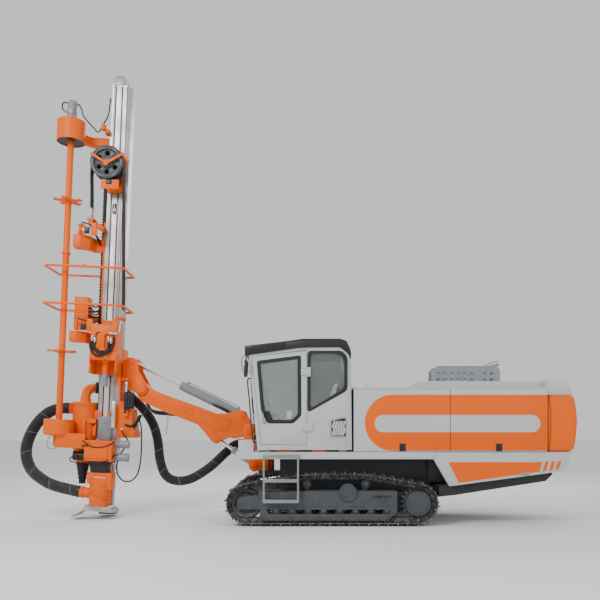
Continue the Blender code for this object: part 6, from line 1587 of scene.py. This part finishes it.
def wheelDetails():
    arms = []
    for spots in (((-0.375, 6.235), (-0.10, 6.075)), ((-0.10, 6.075), (0.175, 6.245)),
                  ((0.175, 6.245), (0.285, 6.125))):
        one, other = Vector(spots[0]), Vector(spots[1])
        across = Vector((-(other - one).y, (other - one).x)).normalized() * 0.022
        arms.append(plate([tuple(one - across), tuple(other - across), tuple(other + across), tuple(one + across)],
                          -0.205, -0.190, 0.005))
    arms += [bar((-0.10, -0.212, 6.08), (-0.10, -0.185, 6.08), 0.045, 32),
             bar((-0.365, -0.198, 6.23), (-0.365, -0.05, 6.23), 0.016, 20),
             bar((0.175, -0.198, 6.245), (0.175, -0.05, 6.245), 0.016, 20)]
    for spot in ((-0.075, 6.092), (-0.125, 6.092), (-0.10, 6.05)):
        arms.append(bolt((spot[0], -0.21, spot[1]), (spot[0], -0.222, spot[1]), 0.009))
    arms.append(box((-0.18, 0.13), (-0.19, -0.174), (5.64, 5.80), 0.006))
    put("wheelArms", "wheel_carriage", "orange", arms, True)
    shade = [box((-0.09, 0.01), (-0.197, -0.186), (5.715, 5.80), 0.004),
             box((-0.10, 0.10), (-0.10, 0.02), (5.80, 5.86), 0.004)]
    put("wheelBracketShade", "wheel_carriage", "black", shade, True)
    # the hoses rise at the left, go over the wheel and run down the beam
    over = [(-0.343, 5.14), (-0.352, 5.5), (-0.372, 5.9)] + arc(mast["wheel"], 0.272, 172, 8, 22)
    over += [(0.178, 5.95), (0.205, 5.3), (0.235, 4.5), (0.262, 3.9), (0.268, 3.47)]
    hoses = [pipe([(u, v, w) for u, w in over], mast["feedRadius"], 3) for v in mast["feedRows"]]
    put("feedHoseRun", "wheel_carriage", "rubber", hoses, True, nodes=["feed_hoses"])
    red = [pipe([(0.178, -0.143, 5.95), (0.205, -0.143, 5.3), (0.235, -0.143, 4.5), (0.262, -0.143, 3.9),
                 (0.267, -0.143, 3.55)], 0.003, 1)]
    put("feedHoseStripe", "wheel_carriage", "redMark", red, True)
    ends = []
    for v in mast["feedRows"]:
        ends.append(bar((-0.343, v, 5.135), (-0.343, v, 5.32), 0.0155, 20, 0.002))
        ends.append(bar((0.268, v, 3.47), (0.268, v, 3.60), 0.0155, 20, 0.002))
    put("hoseFerrules", "wheel_carriage", "zinc", ends, True)
    clip = [box((-0.40, -0.27), (-0.155, 0.02), (5.105, 5.135), 0.005),
            plate([(-0.30, 5.03), (-0.134, 4.93), (-0.134, 5.03), (-0.28, 5.11)], -0.07, 0.08, 0.005),
            box((-0.22, -0.134), (0.08, 0.22), (4.66, 4.71), 0.005)]
    put("hoseClip", "mast", "orange", clip, True)
    lower = [pipe(smoothPath([(-0.343, v, 5.10), (-0.340, v, 5.02), (-0.31, v + 0.02, 4.93), (-0.25, v + 0.08, 4.84),
                              (-0.215, 0.11, 4.72)], 5), mast["feedRadius"], 3)
             for v in mast["feedRows"]]
    put("lowerFeedHoses", "mast", "rubber", lower, True)
    ferrules = [bar((-0.343, v, 5.04), (-0.343, v, 5.104), 0.0155, 20, 0.002) for v in mast["feedRows"]]
    put("lowerFerrules", "mast", "zinc", ferrules, True)


looseHose = {"diameter": 0.025, "far_end": "object", "stiffness": "medium", "lay": "hanging"}


def cradleDetails():
    face = [box((0.135, 0.20), (-0.056, -0.044), (1.56, 2.02), 0.004)]
    for i in range(6):
        face.append(bolt((0.168, -0.054, 1.60 + 0.074 * i), (0.168, -0.066, 1.60 + 0.074 * i), 0.012))
    put("cradleStrip", "cradle", "zinc", face, True)
    flask = [(0, 1.93), (0.030, 1.93), (0.036, 1.94), (0.036, 2.17), (0.030, 2.185), (0, 2.185)]
    twin = [upright(flask, (u, -0.02), 32) for u in (0.425, 0.475)]
    twin.append(box((0.39, 0.51), (-0.035, 0.05), (1.90, 1.945), 0.006))
    put("cradleAccumulators", "cradle", "black", twin, True)
    hoses = []
    for i in range(3):
        v = 0.03 + 0.06 * i
        hoses.append(pipe(smoothPath([(0.36, v, 1.62), (0.47, v - 0.01, 1.60 - 0.02 * i), (0.55, v, 1.68),
                                      (0.60, v + 0.04, 1.80)], 5), 0.018, 3))
    put("cradleHoses", "cradle", "rubber", hoses, True)
    loop = smoothPath([(0.33, -0.062, 1.52), (0.375, -0.075, 1.44), (0.43, -0.08, 1.38), (0.44, -0.08, 1.29),
                       (0.375, -0.08, 1.19), (0.315, -0.08, 1.08), (0.275, -0.08, 0.92), (0.30, -0.08, 0.76),
                       (0.40, -0.08, 0.655), (0.53, -0.07, 0.66), (0.63, -0.05, 0.78), (0.665, -0.02, 1.00),
                       (0.66, 0.03, 1.30), (0.635, 0.08, 1.56), (0.58, 0.12, 1.74)], 8)
    cord = put("looseHose", "cradle", "rubber", pipe(loop, looseHose["diameter"] / 2, 4), True)
    clamps = [bolt((0.33, -0.062, 1.52), (0.325, -0.05, 1.56), 0.018),
              bolt((0.58, 0.12, 1.74), (0.575, 0.13, 1.78), 0.018)]
    put("looseHoseEnds", "cradle", "zinc", clamps, True)


mastDetails()
carouselDetails()
guardDetails()
clampDetails()
dustHood()
cycloneDetails()
headDetails()
wheelDetails()
cradleDetails()
print("mast built")


# Stage


# light: (place, what it looks at, size, power)
lights = {"keyLight": ((-7, -11, 10), (-0.5, 0, 2.2), (4, 4), 1250), "fillLight": ((9, -10, 6), (1, 0, 2), (6, 6), 250),
          "backLight": ((2, 9, 9), (0, 0, 3), (8, 5), 500)}
sky = {"colour": (0.97, 0.98, 1.0, 1), "strength": 0.80}


def softLight(name, place, target, size, power):
    lamp = bpy.data.lights.new(name, "AREA")
    lamp.shape = "RECTANGLE"
    lamp.size, lamp.size_y = size
    lamp.energy = power
    made = bpy.data.objects.new(name, lamp)
    bpy.context.scene.collection.objects.link(made)
    made.location = place
    made.rotation_euler = (Vector(target) - Vector(place)).to_track_quat("-Z", "Y").to_euler()


def setStage():
    deselect()
    bpy.ops.mesh.primitive_plane_add(size=120, location=(0, 20, -0.001))
    floor = bpy.context.object
    floor.name = "studioFloor"
    material, tree, shader = blank("studioFloor", Roughness=0.9)
    tone = use(tree, "tone", Colour=(0.86, 0.86, 0.86, 1), Depth=0.03, Scale=0.4)
    tree.links.new(tone["Colour"], shader.inputs["Base Color"])
    floor.data.materials.append(material)
    settle(floor)
    world = bpy.data.worlds.new("studio")
    bpy.context.scene.world = world
    world.use_nodes = True
    background = world.node_tree.nodes["Background"]
    background.inputs[0].default_value = sky["colour"]
    background.inputs[1].default_value = sky["strength"]
    for name, values in lights.items():
        softLight(name, *values)


setStage()
